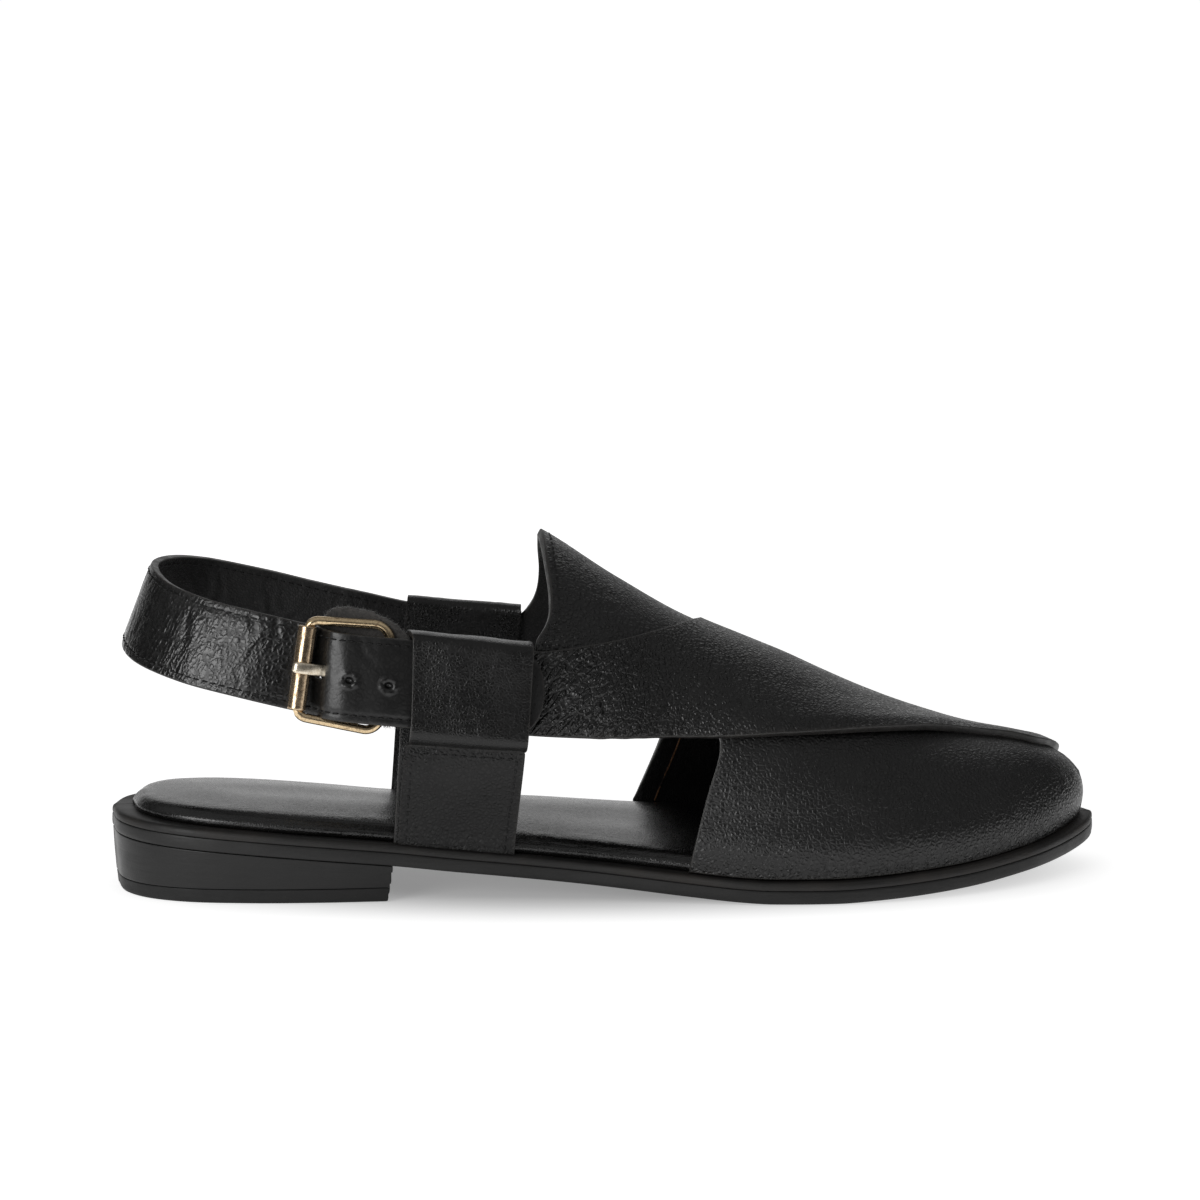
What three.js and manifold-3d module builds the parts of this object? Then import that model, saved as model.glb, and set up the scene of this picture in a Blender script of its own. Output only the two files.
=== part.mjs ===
// Peshawari chappal, right shoe, men's size.  Millimetres, +Z up, floor at z = 0.
// +X points to the toe, -Y is the outer (lateral) side, +Y the inner (medial) side.
import * as THREE from 'three';
import { mergeVertices } from 'three/addons/utils/BufferGeometryUtils.js';
import Module from 'manifold-3d';

const wasm = await Module();
wasm.setup();

// ---------------------------------------------------------------- sizes
const GAP = 0.3;               // clearance between pieces that meet
const LEATHER = 2.4;           // wall of the vamp panels and straps
const OUTSOLE_T = 3.7;         // outsole leather
const MIDSOLE_T = 2.4;         // ledge layer
const TOP_PIECE_T = 4.0;       // wearing piece under the heel
const PAD_SIDE = 4.2, PAD_CROWN = 2.3, PAD_ARCH = 2.4; // padded footbed: its side, rise to the middle, rise under the arch
const BREAST_X = -65.0;        // front face of the heel
const UNDER_IN = 0.0, UNDER_OUT = LEATHER;          // panel below, offsets from the last
const OVER_IN = 1.4, OVER_OUT = 1.4 + LEATHER;      // panel above, sewn into the one below
const PROUD = 1.7;             // how far the free edge of the panel above stands off
const STRAP_HALF = 12.1;       // half width of the back strap
const WIRE_R = 1.3;            // buckle wire
const ROLLER_R = 2.6;         // outside of the roller
const EYE_R = 2.75;             // leather turned round the hinge bar
const FAN_X = 118;             // the toe fans out from this section

// outline of the sole, heel to toe; y of each side
const SIDE_LATERAL = [
  { x: -146.7, y: 0 }, { x: -143.7, y: -14 }, { x: -136.7, y: -24 }, { x: -124.7, y: -31 },
  { x: -106.7, y: -34.5 }, { x: -86.7, y: -35.5 }, { x: -61.7, y: -34.6 }, { x: -36.7, y: -34.2 },
  { x: -11.7, y: -36 }, { x: 13.3, y: -41 }, { x: 35.3, y: -45.8 }, { x: 53.3, y: -47.5 },
  { x: 71.3, y: -46.3 }, { x: 89.3, y: -42 }, { x: 105.3, y: -35.2 }, { x: 119.3, y: -26.3 },
  { x: 130.3, y: -16.5 }, { x: 138.5, y: -6.5 }, { x: 144, y: 3 }, { x: 146.7, y: 12 },
];
const SIDE_MEDIAL = [
  { x: -146.7, y: 0 }, { x: -143.7, y: 14 }, { x: -136.7, y: 24 }, { x: -124.7, y: 31 },
  { x: -106.7, y: 34.5 }, { x: -86.7, y: 34.5 }, { x: -66.7, y: 33.3 }, { x: -41.7, y: 32.2 },
  { x: -16.7, y: 33.4 }, { x: 8.3, y: 37.8 }, { x: 31.3, y: 43.6 }, { x: 53.3, y: 48 },
  { x: 73.3, y: 49.2 }, { x: 91.3, y: 47.6 }, { x: 109.3, y: 43.6 }, { x: 125.3, y: 37 },
  { x: 137, y: 29 }, { x: 144.3, y: 20.5 }, { x: 146.7, y: 12 },
];
// underside of the outsole along its length: heel pitch, ball flat on the floor, toe spring
const SOLE_LINE = [
  { x: -146.7, z: 17.1 }, { x: -112.3, z: 14.6 }, { x: -65.7, z: 10.4 }, { x: -47.3, z: 8.2 },
  { x: -34.6, z: 6.9 }, { x: -18.3, z: 5.3 }, { x: -1.1, z: 3.6 }, { x: 20, z: 1.5 }, { x: 34, z: 0.35 },
  { x: 42, z: 0 }, { x: 60, z: 0 }, { x: 72, z: 0.45 }, { x: 88, z: 1.4 }, { x: 102, z: 2.5 },
  { x: 114, z: 3.8 }, { x: 125, z: 5.1 }, { x: 136, z: 6.8 }, { x: 146.7, z: 8.7 },
];
// how far the footbed and the foot of the upper lie inside the sole edge
const INSETS = [
  { x: -146.7, footbed: 6.4, upper: 4.7 }, { x: -110, footbed: 4.8, upper: 4.7 },
  { x: -65, footbed: 4.4, upper: 4.7 }, { x: -25, footbed: 4.4, upper: 4.7 },
  { x: 15, footbed: 5.4, upper: 4.7 }, { x: 100, footbed: 5.4, upper: 4.7 },
  { x: 128, footbed: 6.6, upper: 5.6 }, { x: 146.7, footbed: 8.0, upper: 6.4 },
];
// the last: half girths, ridge and fullness, a row for each section
const LAST = [
  { x: -95, lateral: -33.0, medial: 34.5, ridgeY: 0.0, ridgeZ: 124, a: 2.1, b: 3.2 },
  { x: -63, lateral: -35.5, medial: 37.0, ridgeY: 0.5, ridgeZ: 119, a: 2.1, b: 3.2 },
  { x: -42, lateral: -37.2, medial: 38.5, ridgeY: 1.2, ridgeZ: 111, a: 2.0, b: 3.0 },
  { x: -22, lateral: -39.0, medial: 39.5, ridgeY: 2.0, ridgeZ: 100.9, a: 1.75, b: 2.7 },
  { x: 0, lateral: -40.0, medial: 39.5, ridgeY: 2.6, ridgeZ: 86.6, a: 1.85, b: 2.6 },
  { x: 20, lateral: -40.5, medial: 39.5, ridgeY: 3.2, ridgeZ: 75.0, a: 1.95, b: 2.5 },
  { x: 50, lateral: -43, medial: 43, ridgeY: 4.8, ridgeZ: 61.9, a: 2.05, b: 2.3 },
  { x: 74, lateral: -41, medial: 44, ridgeY: 6.6, ridgeZ: 50.8, a: 2.1, b: 2.3 },
  { x: 92, lateral: -36, medial: 42, ridgeY: 8.2, ridgeZ: 43.9, a: 2.15, b: 2.35 },
  { x: 111, lateral: -27, medial: 38, ridgeY: 9.6, ridgeZ: 38.2, a: 2.3, b: 2.5 },
  { x: 118, lateral: -22, medial: 36, ridgeY: 10.0, ridgeZ: 36.7, a: 2.5, b: 2.6 },
];
const TOE_SLOPE = -0.2;        // fall of the ridge in front of FAN_X
const TOE_A = 5.5, TOE_B = 4.6;
const BULGE = 1.4, BULGE_H = 18;

// edges of the crossed panels in side view (x, z on the outside of the leather)
const OVER_FREE = [            // free lower edge of the panel above, outer side, strap to toe
  { x: -66.6, z: 52.3 }, { x: -44, z: 50.2 }, { x: -24, z: 48.3 }, { x: 4, z: 47.1 }, { x: 30, z: 46.8 },
  { x: 57.5, z: 46.8 }, { x: 76, z: 46.1 }, { x: 95.5, z: 44.3 }, { x: 108, z: 42.2 },
];
const OVER_TOE = [             // where it rounds the toe: angle about the fan centre, height
  { angle: -55, z: 39.2 }, { angle: -24, z: 37.9 }, { angle: 0, z: 36.6 }, { angle: 20, z: 33.6 },
  { angle: 38, z: 27.5 }, { angle: 50, z: 20.5 },
];
const OVER_TOP = [             // upper edge, outer side, from the ridge back to the strap
  { x: 18, z: 76.4 }, { x: 12, z: 75.7 }, { x: 4, z: 74.6 }, { x: -6.5, z: 73.4 }, { x: -24, z: 71.9 },
  { x: -44, z: 73.8 }, { x: -63.7, z: 76.0 },
];
const OVER_REAR = [            // rear edge on the inner side, from the sole to the ridge
  { x: 9.6, z: 15 }, { x: 13.2, z: 24 }, { x: 16.8, z: 33 }, { x: 21.0, z: 46 }, { x: 24.5, z: 60 }, { x: 25.5, z: 70 },
];
const UNDER_REAR = [           // rear edge of the panel below, outer side, from the sole up
  { x: 19.1, z: 12 }, { x: 20.3, z: 17.5 }, { x: 23.9, z: 30.5 }, { x: 28, z: 45 }, { x: 26, z: 51 },
  { x: 16, z: 56.5 }, { x: 0, z: 61 }, { x: -15, z: 64.5 }, { x: -23.5, z: 68.5 }, { x: -24.3, z: 74 },
  { x: -21.4, z: 78.6 }, { x: -20, z: 82 }, { x: -19.6, z: 88 }, { x: -20.2, z: 96 },
];
const UNDER_TOP = [            // from the peak down the inner side and along its strap
  { x: -20.4, z: 97 }, { x: -19.8, z: 90 }, { x: -20.4, z: 83 }, { x: -22.3, z: 77.8 }, { x: -26, z: 73.5 },
  { x: -34, z: 73.7 }, { x: -41.2, z: 74.6 },
];
const UNDER_FREE = [           // lower edge of its strap, inner side, forward under the panel above
  { x: -41.2, z: 51.0 }, { x: -24, z: 49.6 }, { x: 2, z: 49.6 }, { x: 30, z: 48.6 }, { x: 60, z: 46 },
  { x: 86, z: 41 }, { x: 104, z: 33 }, { x: 113, z: 22 },
];
const PEAK_X = -22.2;          // tip of the peak on the ridge
const OVER_RIDGE_X = 24.5;     // where the panel above crosses the ridge
const UNDER_SOLE_X = 19.0, OVER_SOLE_X = 8.6;

// back strap: middle of its width and thickness, lean of its top towards the foot
const BACK_STRAP = [
  { x: -104, y: 33.2, z: 76.3, lean: 12 }, { x: -121, y: 28.4, z: 80.5, lean: 16 },
  { x: -132.5, y: 16.5, z: 82.8, lean: 20 }, { x: -137.6, y: 0.5, z: 82.4, lean: 21 },
  { x: -133.4, y: -15.5, z: 78.8, lean: 21 }, { x: -121.5, y: -26.4, z: 74.9, lean: 17 },
  { x: -106, y: -32.2, z: 71.4, lean: 12 }, { x: -92, y: -33.6, z: 68.5, lean: 8 },
  { x: -88.4, y: -33.7, z: 67.9, lean: 7 }, { x: -85.5, y: -36.3, z: 67.5, lean: 7 },
  { x: -82.7, y: -39.2, z: 67.1, lean: 7 }, { x: -79.2, y: -40.6, z: 66.7, lean: 7 },
];
const BAR = { x: -67.1, y: -36.6, z: 64.6 };       // hinge bar of the buckle
const ROLLER = { x: -90.6, y: -38.2, z: 68.3 };    // roller of the buckle
const FRAME_ROLLER_HALF = 13.8, FRAME_BAR_HALF = 14.9; // half heights of the frame
const KEEPER = [               // side loops: rows from the sole to the fold
  { part: 'foot', z: 16.5, rear: -65.4, front: -30.4 },
  { part: 'seam', z: 43.0, rear: -63.0, front: -27.2 },
  { part: 'fold', z: 78.0, rear: -61.0, front: -24.5 },
];

// ---------------------------------------------------------------- small helpers
function tableCurve(rows, key, along = 'x') {      // monotone cubic through the rows
  const xs = rows.map((r) => r[along]), ys = rows.map((r) => r[key]), n = xs.length;
  const h = [], d = [], m = new Array(n).fill(0);
  for (let i = 0; i < n - 1; i++) { h.push(xs[i + 1] - xs[i]); d.push((ys[i + 1] - ys[i]) / h[i]); }
  m[0] = d[0]; m[n - 1] = d[n - 2];
  for (let i = 1; i < n - 1; i++) {
    if (d[i - 1] * d[i] > 0) {
      const w1 = 2 * h[i] + h[i - 1], w2 = h[i] + 2 * h[i - 1];
      m[i] = (w1 + w2) / (w1 / d[i - 1] + w2 / d[i]);
    }
  }
  return (x) => {
    if (x <= xs[0]) return ys[0] + m[0] * (x - xs[0]);
    if (x >= xs[n - 1]) return ys[n - 1] + m[n - 1] * (x - xs[n - 1]);
    let i = 0; while (x > xs[i + 1]) i++;
    const t = (x - xs[i]) / h[i], t2 = t * t, t3 = t2 * t;
    return ys[i] * (2 * t3 - 3 * t2 + 1) + m[i] * h[i] * (t3 - 2 * t2 + t)
      + ys[i + 1] * (3 * t2 - 2 * t3) + m[i + 1] * h[i] * (t3 - t2);
  };
}
const clamp = (v, a, b) => Math.min(b, Math.max(a, v));
const smooth = (t) => { const u = clamp(t, 0, 1); return u * u * (3 - 2 * u); };
const lerp = (a, b, t) => a + (b - a) * t;

function meshFrom(points, tris) {                  // closed mesh, shared points, no slivers of zero area
  const g = new THREE.BufferGeometry();
  g.setAttribute('position', new THREE.Float32BufferAttribute(points.flat(), 3));
  g.setIndex(tris.flat());
  const m = mergeVertices(g, 1e-3), idx = m.index.array, keep = [];
  for (let i = 0; i < idx.length; i += 3) {
    const [a, b, c] = [idx[i], idx[i + 1], idx[i + 2]];
    if (a !== b && b !== c && a !== c) keep.push(a, b, c);
  }
  m.setIndex(keep);
  return m;
}
function loft(rings, { closed = false } = {}) {    // rings of equal point count, outline order
  const n = rings[0].length, pts = rings.flat(), tris = [], m = rings.length;
  for (let i = 0; i < (closed ? m : m - 1); i++) {
    for (let j = 0; j < n; j++) {
      const a = i * n + j, b = i * n + (j + 1) % n, c = ((i + 1) % m) * n + (j + 1) % n, d = ((i + 1) % m) * n + j;
      tris.push([a, b, c], [a, c, d]);
    }
  }
  if (!closed) {
    const cap = (base, flip) => {
      for (let j = 1; j < n - 1; j++) tris.push(flip ? [base, base + j + 1, base + j] : [base, base + j, base + j + 1]);
    };
    cap(0, true); cap((m - 1) * n, false);
  }
  return facingOut(meshFrom(pts, tris));
}
function volume(g) {
  const p = g.attributes.position, x = g.index.array; let v = 0;
  const a = new THREE.Vector3(), b = new THREE.Vector3(), c = new THREE.Vector3();
  for (let i = 0; i < x.length; i += 3) {
    a.fromBufferAttribute(p, x[i]); b.fromBufferAttribute(p, x[i + 1]); c.fromBufferAttribute(p, x[i + 2]);
    v += a.dot(b.cross(c)) / 6;
  }
  return v;
}
function facingOut(g) {
  if (volume(g) < 0) {
    const x = g.index.array;
    for (let i = 0; i < x.length; i += 3) { const t = x[i]; x[i] = x[i + 1]; x[i + 1] = t; }
  }
  return g;
}
function solid(geometry) {
  let g = geometry.clone();
  g.deleteAttribute('normal'); g.deleteAttribute('uv');
  g = mergeVertices(g, 1e-4);
  const idx = g.index.array, keep = [];
  for (let i = 0; i < idx.length; i += 3) {
    if (idx[i] !== idx[i + 1] && idx[i + 1] !== idx[i + 2] && idx[i] !== idx[i + 2]) keep.push(idx[i], idx[i + 1], idx[i + 2]);
  }
  return new wasm.Manifold(new wasm.Mesh({
    numProp: 3, vertProperties: new Float32Array(g.attributes.position.array), triVerts: new Uint32Array(keep),
  }));
}
function geometryOf(manifold) {
  const m = manifold.getMesh(), g = new THREE.BufferGeometry(), p = [];
  for (let i = 0; i < m.vertProperties.length; i += m.numProp) p.push(m.vertProperties[i], m.vertProperties[i + 1], m.vertProperties[i + 2]);
  g.setAttribute('position', new THREE.Float32BufferAttribute(p, 3));
  g.setIndex([...m.triVerts]);
  return g;
}

function withoutVoids(g) {                         // closed pockets between glued layers are solid leather
  const p = g.attributes.position, x = g.index.array, root = Array.from({ length: p.count }, (_, i) => i);
  const find = (i) => { while (root[i] !== i) i = root[i] = root[root[i]]; return i; };
  for (let i = 0; i < x.length; i += 3) { root[find(x[i])] = find(x[i + 1]); root[find(x[i + 1])] = find(x[i + 2]); }
  const vol = new Map(), a = new THREE.Vector3(), b = new THREE.Vector3(), c = new THREE.Vector3(), keep = [];
  for (let i = 0; i < x.length; i += 3) {
    a.fromBufferAttribute(p, x[i]); b.fromBufferAttribute(p, x[i + 1]); c.fromBufferAttribute(p, x[i + 2]);
    vol.set(find(x[i]), (vol.get(find(x[i])) || 0) + a.dot(b.cross(c)) / 6);
  }
  for (let i = 0; i < x.length; i += 3) if (vol.get(find(x[i])) > 0) keep.push(x[i], x[i + 1], x[i + 2]);
  g.setIndex(keep);
  return mergeVertices(g, 1e-3);
}

// ---------------------------------------------------------------- sole
const soleBottom = tableCurve(SOLE_LINE, 'z');
const soleTop = (x) => soleBottom(x) + OUTSOLE_T + GAP + MIDSOLE_T;
const sideCurve = (rows) => new THREE.CatmullRomCurve3(rows.map((r) => new THREE.Vector3(r.x, r.y, 0)), false, 'centripetal');
const SIDES = { lateral: sideCurve(SIDE_LATERAL), medial: sideCurve(SIDE_MEDIAL) };
for (const c of Object.values(SIDES)) c.arcLengthDivisions = 800;
function sidePoint(side, s, off) {                 // point of the outline, moved out by off
  const p = SIDES[side].getPointAt(s), t = SIDES[side].getTangentAt(s);
  if (s === 0) t.set(0, side === 'lateral' ? -1 : 1, 0);
  if (s === 1) t.set(0, side === 'lateral' ? 1 : -1, 0);
  const n = side === 'lateral' ? [t.y, -t.x] : [-t.y, t.x];
  const o = typeof off === 'function' ? off(p.x) : off;
  return { x: p.x + n[0] * o, y: p.y + n[1] * o, x0: p.x };
}
function shareAtX(side, x) {
  let lo = 0, hi = 1;
  for (let i = 0; i < 50; i++) { const m = (lo + hi) / 2; if (SIDES[side].getPointAt(m).x < x) lo = m; else hi = m; }
  return (lo + hi) / 2;
}
function layer({ top, bottom, offTop = 0, offBottom = 0, toX = null, steps = 44, crown = 0, arch = () => 0 }) {
  const rings = [], endL = toX === null ? 1 : shareAtX('lateral', toX), endM = toX === null ? 1 : shareAtX('medial', toX);
  for (let i = 0; i <= steps; i++) {
    const u = i / steps, e = toX === null ? 0.5 - 0.5 * Math.cos(Math.PI * u) : 1 - Math.cos(Math.PI * u / 2);
    const w = lerp(u, e, 0.45);
    const Lb = sidePoint('lateral', w * endL, offBottom), Mb = sidePoint('medial', w * endM, offBottom);
    const Lt = sidePoint('lateral', w * endL, offTop), Mt = sidePoint('medial', w * endM, offTop);
    const ring = [[Lb.x, Lb.y, bottom(Lb.x0)], [Mb.x, Mb.y, bottom(Mb.x0)], [Mt.x, Mt.y, top(Mt.x0) + arch(Mt.x0, 1)]];
    if (crown > 0) {
      for (const k of [0.88, 0.6, 0.2, -0.2, -0.6, -0.88]) {
        const f = (k + 1) / 2, x = lerp(Lt.x, Mt.x, f), y = lerp(Lt.y, Mt.y, f);
        const span = Math.abs(Mt.y - Lt.y);
        const lift = Math.min(1, span / 30) * (crown * Math.pow(1 - Math.pow(Math.abs(k), 3), 0.7));
        ring.push([x, y, top(lerp(Lt.x0, Mt.x0, f)) + lift + arch(lerp(Lt.x0, Mt.x0, f), f)]);
      }
    }
    ring.push([Lt.x, Lt.y, top(Lt.x0)]);
    rings.push(ring);
  }
  return loft(rings);
}
const outsole = layer({ bottom: soleBottom, top: (x) => soleBottom(x) + OUTSOLE_T });
const midsole = layer({ bottom: (x) => soleBottom(x) + OUTSOLE_T + GAP, top: soleTop, offTop: -0.4 });
const heelBlock = layer({
  top: (x) => soleBottom(x) - GAP, bottom: () => TOP_PIECE_T + GAP, offTop: -0.2, offBottom: -1.0, toX: BREAST_X, steps: 22,
});
const topPiece = layer({ top: () => TOP_PIECE_T, bottom: () => 0, offTop: -1.0, offBottom: -1.5, toX: BREAST_X, steps: 22 });
const footbedInset = tableCurve(INSETS, 'footbed'), upperInset = tableCurve(INSETS, 'upper');
const insole = layer({
  bottom: (x) => soleTop(x) + GAP, top: (x) => soleTop(x) + GAP + PAD_SIDE, offBottom: (x) => -footbedInset(x),
  offTop: (x) => -footbedInset(x) - 1.4, crown: PAD_CROWN,
  arch: (x, f) => PAD_ARCH * smooth((f - 0.3) / 0.6) * smooth((x + 75) / 60) * smooth((75 - x) / 50),
});

// ---------------------------------------------------------------- the last
const lastCurve = {};
for (const k of ['lateral', 'medial', 'ridgeY', 'ridgeZ', 'a', 'b']) lastCurve[k] = tableCurve(LAST, k);
const FOOT_LINE = { lateral: [], medial: [] };     // where the upper meets the sole
for (const side of ['lateral', 'medial']) {
  for (let i = 0; i <= 400; i++) {
    const p = sidePoint(side, i / 400, (x) => -upperInset(x));
    FOOT_LINE[side].push([p.x, p.y]);
  }
}
function footY(side, x) {
  const L = FOOT_LINE[side];
  let i = 1; while (i < L.length - 1 && L[i][0] < x) i++;
  const t = (x - L[i - 1][0]) / (L[i][0] - L[i - 1][0]);
  return lerp(L[i - 1][1], L[i][1], clamp(t, 0, 1));
}
const baseY = (side, x) => lerp(lastCurve[side](x), footY(side, x), smooth((x + 5) / 24));
const FAN_Y = lastCurve.ridgeY(FAN_X), FAN_Z = lastCurve.ridgeZ(FAN_X);
const REACH = [];                                  // distance from the fan centre to the foot line
for (const [side, order] of [['lateral', 1], ['medial', -1]]) {
  const pts = FOOT_LINE[side].filter((p) => p[0] > FAN_X);
  pts.unshift([FAN_X, baseY(side, FAN_X)]);
  if (order < 0) pts.reverse();
  for (const p of pts) REACH.push({ t: Math.atan2(p[1] - FAN_Y, p[0] - FAN_X), r: Math.hypot(p[0] - FAN_X, p[1] - FAN_Y) });
}
REACH.sort((p, q) => p.t - q.t);
function reach(t) {
  if (t <= REACH[0].t) return REACH[0].r;
  for (let i = 1; i < REACH.length; i++) {
    if (t <= REACH[i].t) {
      const d = REACH[i].t - REACH[i - 1].t;
      return d < 1e-9 ? REACH[i].r : lerp(REACH[i - 1].r, REACH[i].r, (t - REACH[i - 1].t) / d);
    }
  }
  return REACH[REACH.length - 1].r;
}
function fullness(t, a, b) {                       // point of the rounded section, width and height shares
  const c = Math.sin(t * Math.PI / 2), g = Math.cos(t * Math.PI / 2);
  let k = 1;
  for (let i = 0; i < 12; i++) {
    const p = Math.pow(k * c, a), q = Math.pow(Math.max(k * g, 1e-12), b);
    k -= (p + q - 1) / ((a * p + b * q) / k);
  }
  return [k * c, k * g];
}
// (X, Y) is the unrolled plan of the last; r runs from the ridge (0) to the foot line (1)
function lastPoint(X, Y) {
  let ox, oy, dx, dy, R, r, a, b;
  if (X <= FAN_X) {
    ox = X; oy = lastCurve.ridgeY(X); dx = 0; dy = Y < oy ? -1 : 1;
    R = Math.abs(baseY(dy < 0 ? 'lateral' : 'medial', X) - oy);
    r = Math.abs(Y - oy) / R; a = lastCurve.a(X); b = lastCurve.b(X);
  } else {
    ox = FAN_X; oy = FAN_Y;
    const vx = X - ox, vy = Y - oy, d = Math.hypot(vx, vy) || 1e-9, t = Math.atan2(vy, vx);
    dx = vx / d; dy = vy / d; R = reach(t); r = d / R;
    const k = smooth((Math.PI / 2 - Math.abs(t)) / 0.9);
    a = lerp(lastCurve.a(FAN_X), TOE_A, k); b = lerp(lastCurve.b(FAN_X), TOE_B, k);
  }
  r = Math.min(r, 1);
  const [c, g] = fullness(r, a, b);
  let x = ox + dx * R * c, y = oy + dy * R * c;
  const H = X <= FAN_X ? lastCurve.ridgeZ(X) : FAN_Z + TOE_SLOPE * (x - FAN_X);
  const zs = soleTop(x) + GAP, z = zs + (H - zs) * g, q = (z - zs) / BULGE_H;
  const fore = smooth((X + 2) / 24);
  const out = q < 1 ? fore * BULGE * Math.sin(Math.PI * q) ** 2 : 0;
  return new THREE.Vector3(x + dx * out, y + dy * out, z);
}
function lastNormal(X, Y) {
  const e = 0.4;
  const du = lastPoint(X + e, Y).sub(lastPoint(X - e, Y)), dv = lastPoint(X, Y + e).sub(lastPoint(X, Y - e));
  return du.cross(dv).normalize();
}
function lastOffset(X, Y, off) {
  const p = lastPoint(X, Y).addScaledVector(lastNormal(X, Y), off);
  p.z = Math.max(p.z, soleTop(p.x) + GAP);
  return p;
}
function edgeY(side, X) {                          // the foot line in the unrolled plan
  if (X <= FAN_X) return baseY(side, X);
  const sgn = side === 'lateral' ? -1 : 1;
  let lo = 0, hi = 60;
  for (let i = 0; i < 40; i++) {
    const m = (lo + hi) / 2, vx = X - FAN_X, vy = sgn * m;
    if (Math.hypot(vx, vy) > reach(Math.atan2(vy, vx))) hi = m; else lo = m;
  }
  return FAN_Y + sgn * lo;
}
const TIP_X = FAN_X + reach(0);
function locate(side, x, z, off) {                 // unrolled place of a side view point
  let X = Math.min(x, TIP_X - 0.5), Y = 0;
  for (let k = 0; k < 14; k++) {
    const ridge = X <= FAN_X ? lastCurve.ridgeY(X) : FAN_Y, foot = edgeY(side, X);
    let lo = 0, hi = 1;
    for (let i = 0; i < 30; i++) {
      const m = (lo + hi) / 2;
      if (lastOffset(X, lerp(ridge, foot, m), off).z > z) lo = m; else hi = m;
    }
    Y = lerp(ridge, foot, (lo + hi) / 2);
    X = Math.min(X + 0.8 * (x - lastOffset(X, Y, off).x), TIP_X - 0.5);
  }
  return [X, Y];
}
function locateAngle(degrees, z, off) {            // unrolled place of a height on the toe
  const t = THREE.MathUtils.degToRad(degrees), R = reach(t);
  let lo = 0, hi = 1;
  for (let i = 0; i < 30; i++) {
    const m = (lo + hi) / 2;
    if (lastOffset(FAN_X + R * m * Math.cos(t), FAN_Y + R * m * Math.sin(t), off).z > z) lo = m; else hi = m;
  }
  return [FAN_X + R * lo * Math.cos(t), FAN_Y + R * lo * Math.sin(t)];
}
const wallY = (side, x, z, off) => { const [X, Y] = locate(side, x, z, off); return lastOffset(X, Y, off).y; };

// ---------------------------------------------------------------- crossed panels
const chain = (pts, n, closedEnds = true) => {     // smooth run through unrolled points
  const c = new THREE.CatmullRomCurve3(pts.map((p) => new THREE.Vector3(p[0], p[1], 0)), false, 'centripetal');
  return c.getSpacedPoints(n).map((p) => [p.x, p.y]);
};
const footRun = (side, x0, x1, n) => {             // along the foot line
  const out = [];
  for (let i = 0; i <= n; i++) { const x = lerp(x0, x1, i / n); out.push([x, edgeY(side, x)]); }
  return out;
};
function toeRun(t0, t1, n) {                       // foot line of the toe, by angle from the fan centre
  const out = [];
  for (let i = 0; i <= n; i++) { const t = lerp(t0, t1, i / n), r = reach(t); out.push([FAN_X + r * Math.cos(t), FAN_Y + r * Math.sin(t)]); }
  return out;
}
const on = (side, rows, off, n = 26) => {           // smooth run in side view, laid on the last
  const c = new THREE.CatmullRomCurve3(rows.map((r) => new THREE.Vector3(r.x, r.z, 0)), false, 'centripetal');
  return c.getSpacedPoints(n).map((p) => locate(side, p.x, p.y, off));
};
function outline(parts) {
  const pts = [];
  for (const run of parts) for (const p of run) {
    const q = pts[pts.length - 1];
    if (!q || Math.hypot(p[0] - q[0], p[1] - q[1]) > 0.35) pts.push(p);
  }
  return pts;
}
const ridgeAt = (x) => [x, lastCurve.ridgeY(x)];
const overFree = chain([...on('lateral', OVER_FREE, OVER_OUT, 34),
  ...OVER_TOE.map((r) => locateAngle(r.angle, r.z, OVER_OUT))], 60);
const OVER_TOE_END = THREE.MathUtils.degToRad(58);
const OVER = outline([
  overFree,
  toeRun(OVER_TOE_END, Math.PI / 2 - 0.02, 8),
  footRun('medial', FAN_X, OVER_SOLE_X, 30),
  chain([[OVER_SOLE_X, edgeY('medial', OVER_SOLE_X)], ...on('medial', OVER_REAR, OVER_OUT), ridgeAt(OVER_RIDGE_X),
    ...on('lateral', OVER_TOP, OVER_OUT)], 46),
]);
const UNDER_TOE_END = THREE.MathUtils.degToRad(78);
const UNDER = outline([
  footRun('lateral', UNDER_SOLE_X, FAN_X, 28),
  toeRun(-Math.PI / 2 + 0.02, UNDER_TOE_END, 30),
  chain([[FAN_X + reach(UNDER_TOE_END) * Math.cos(UNDER_TOE_END), FAN_Y + reach(UNDER_TOE_END) * Math.sin(UNDER_TOE_END)],
    ...on('medial', [...UNDER_FREE].reverse(), UNDER_OUT)], 26),
  chain([...on('medial', [...UNDER_TOP].reverse(), UNDER_OUT), ridgeAt(PEAK_X)], 18),
  chain([ridgeAt(PEAK_X), ...on('lateral', [...UNDER_REAR].reverse(), UNDER_OUT)], 40),
]);
const DOME = 2e-4;                                 // tiny crown that keeps the flat pattern's grid
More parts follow.
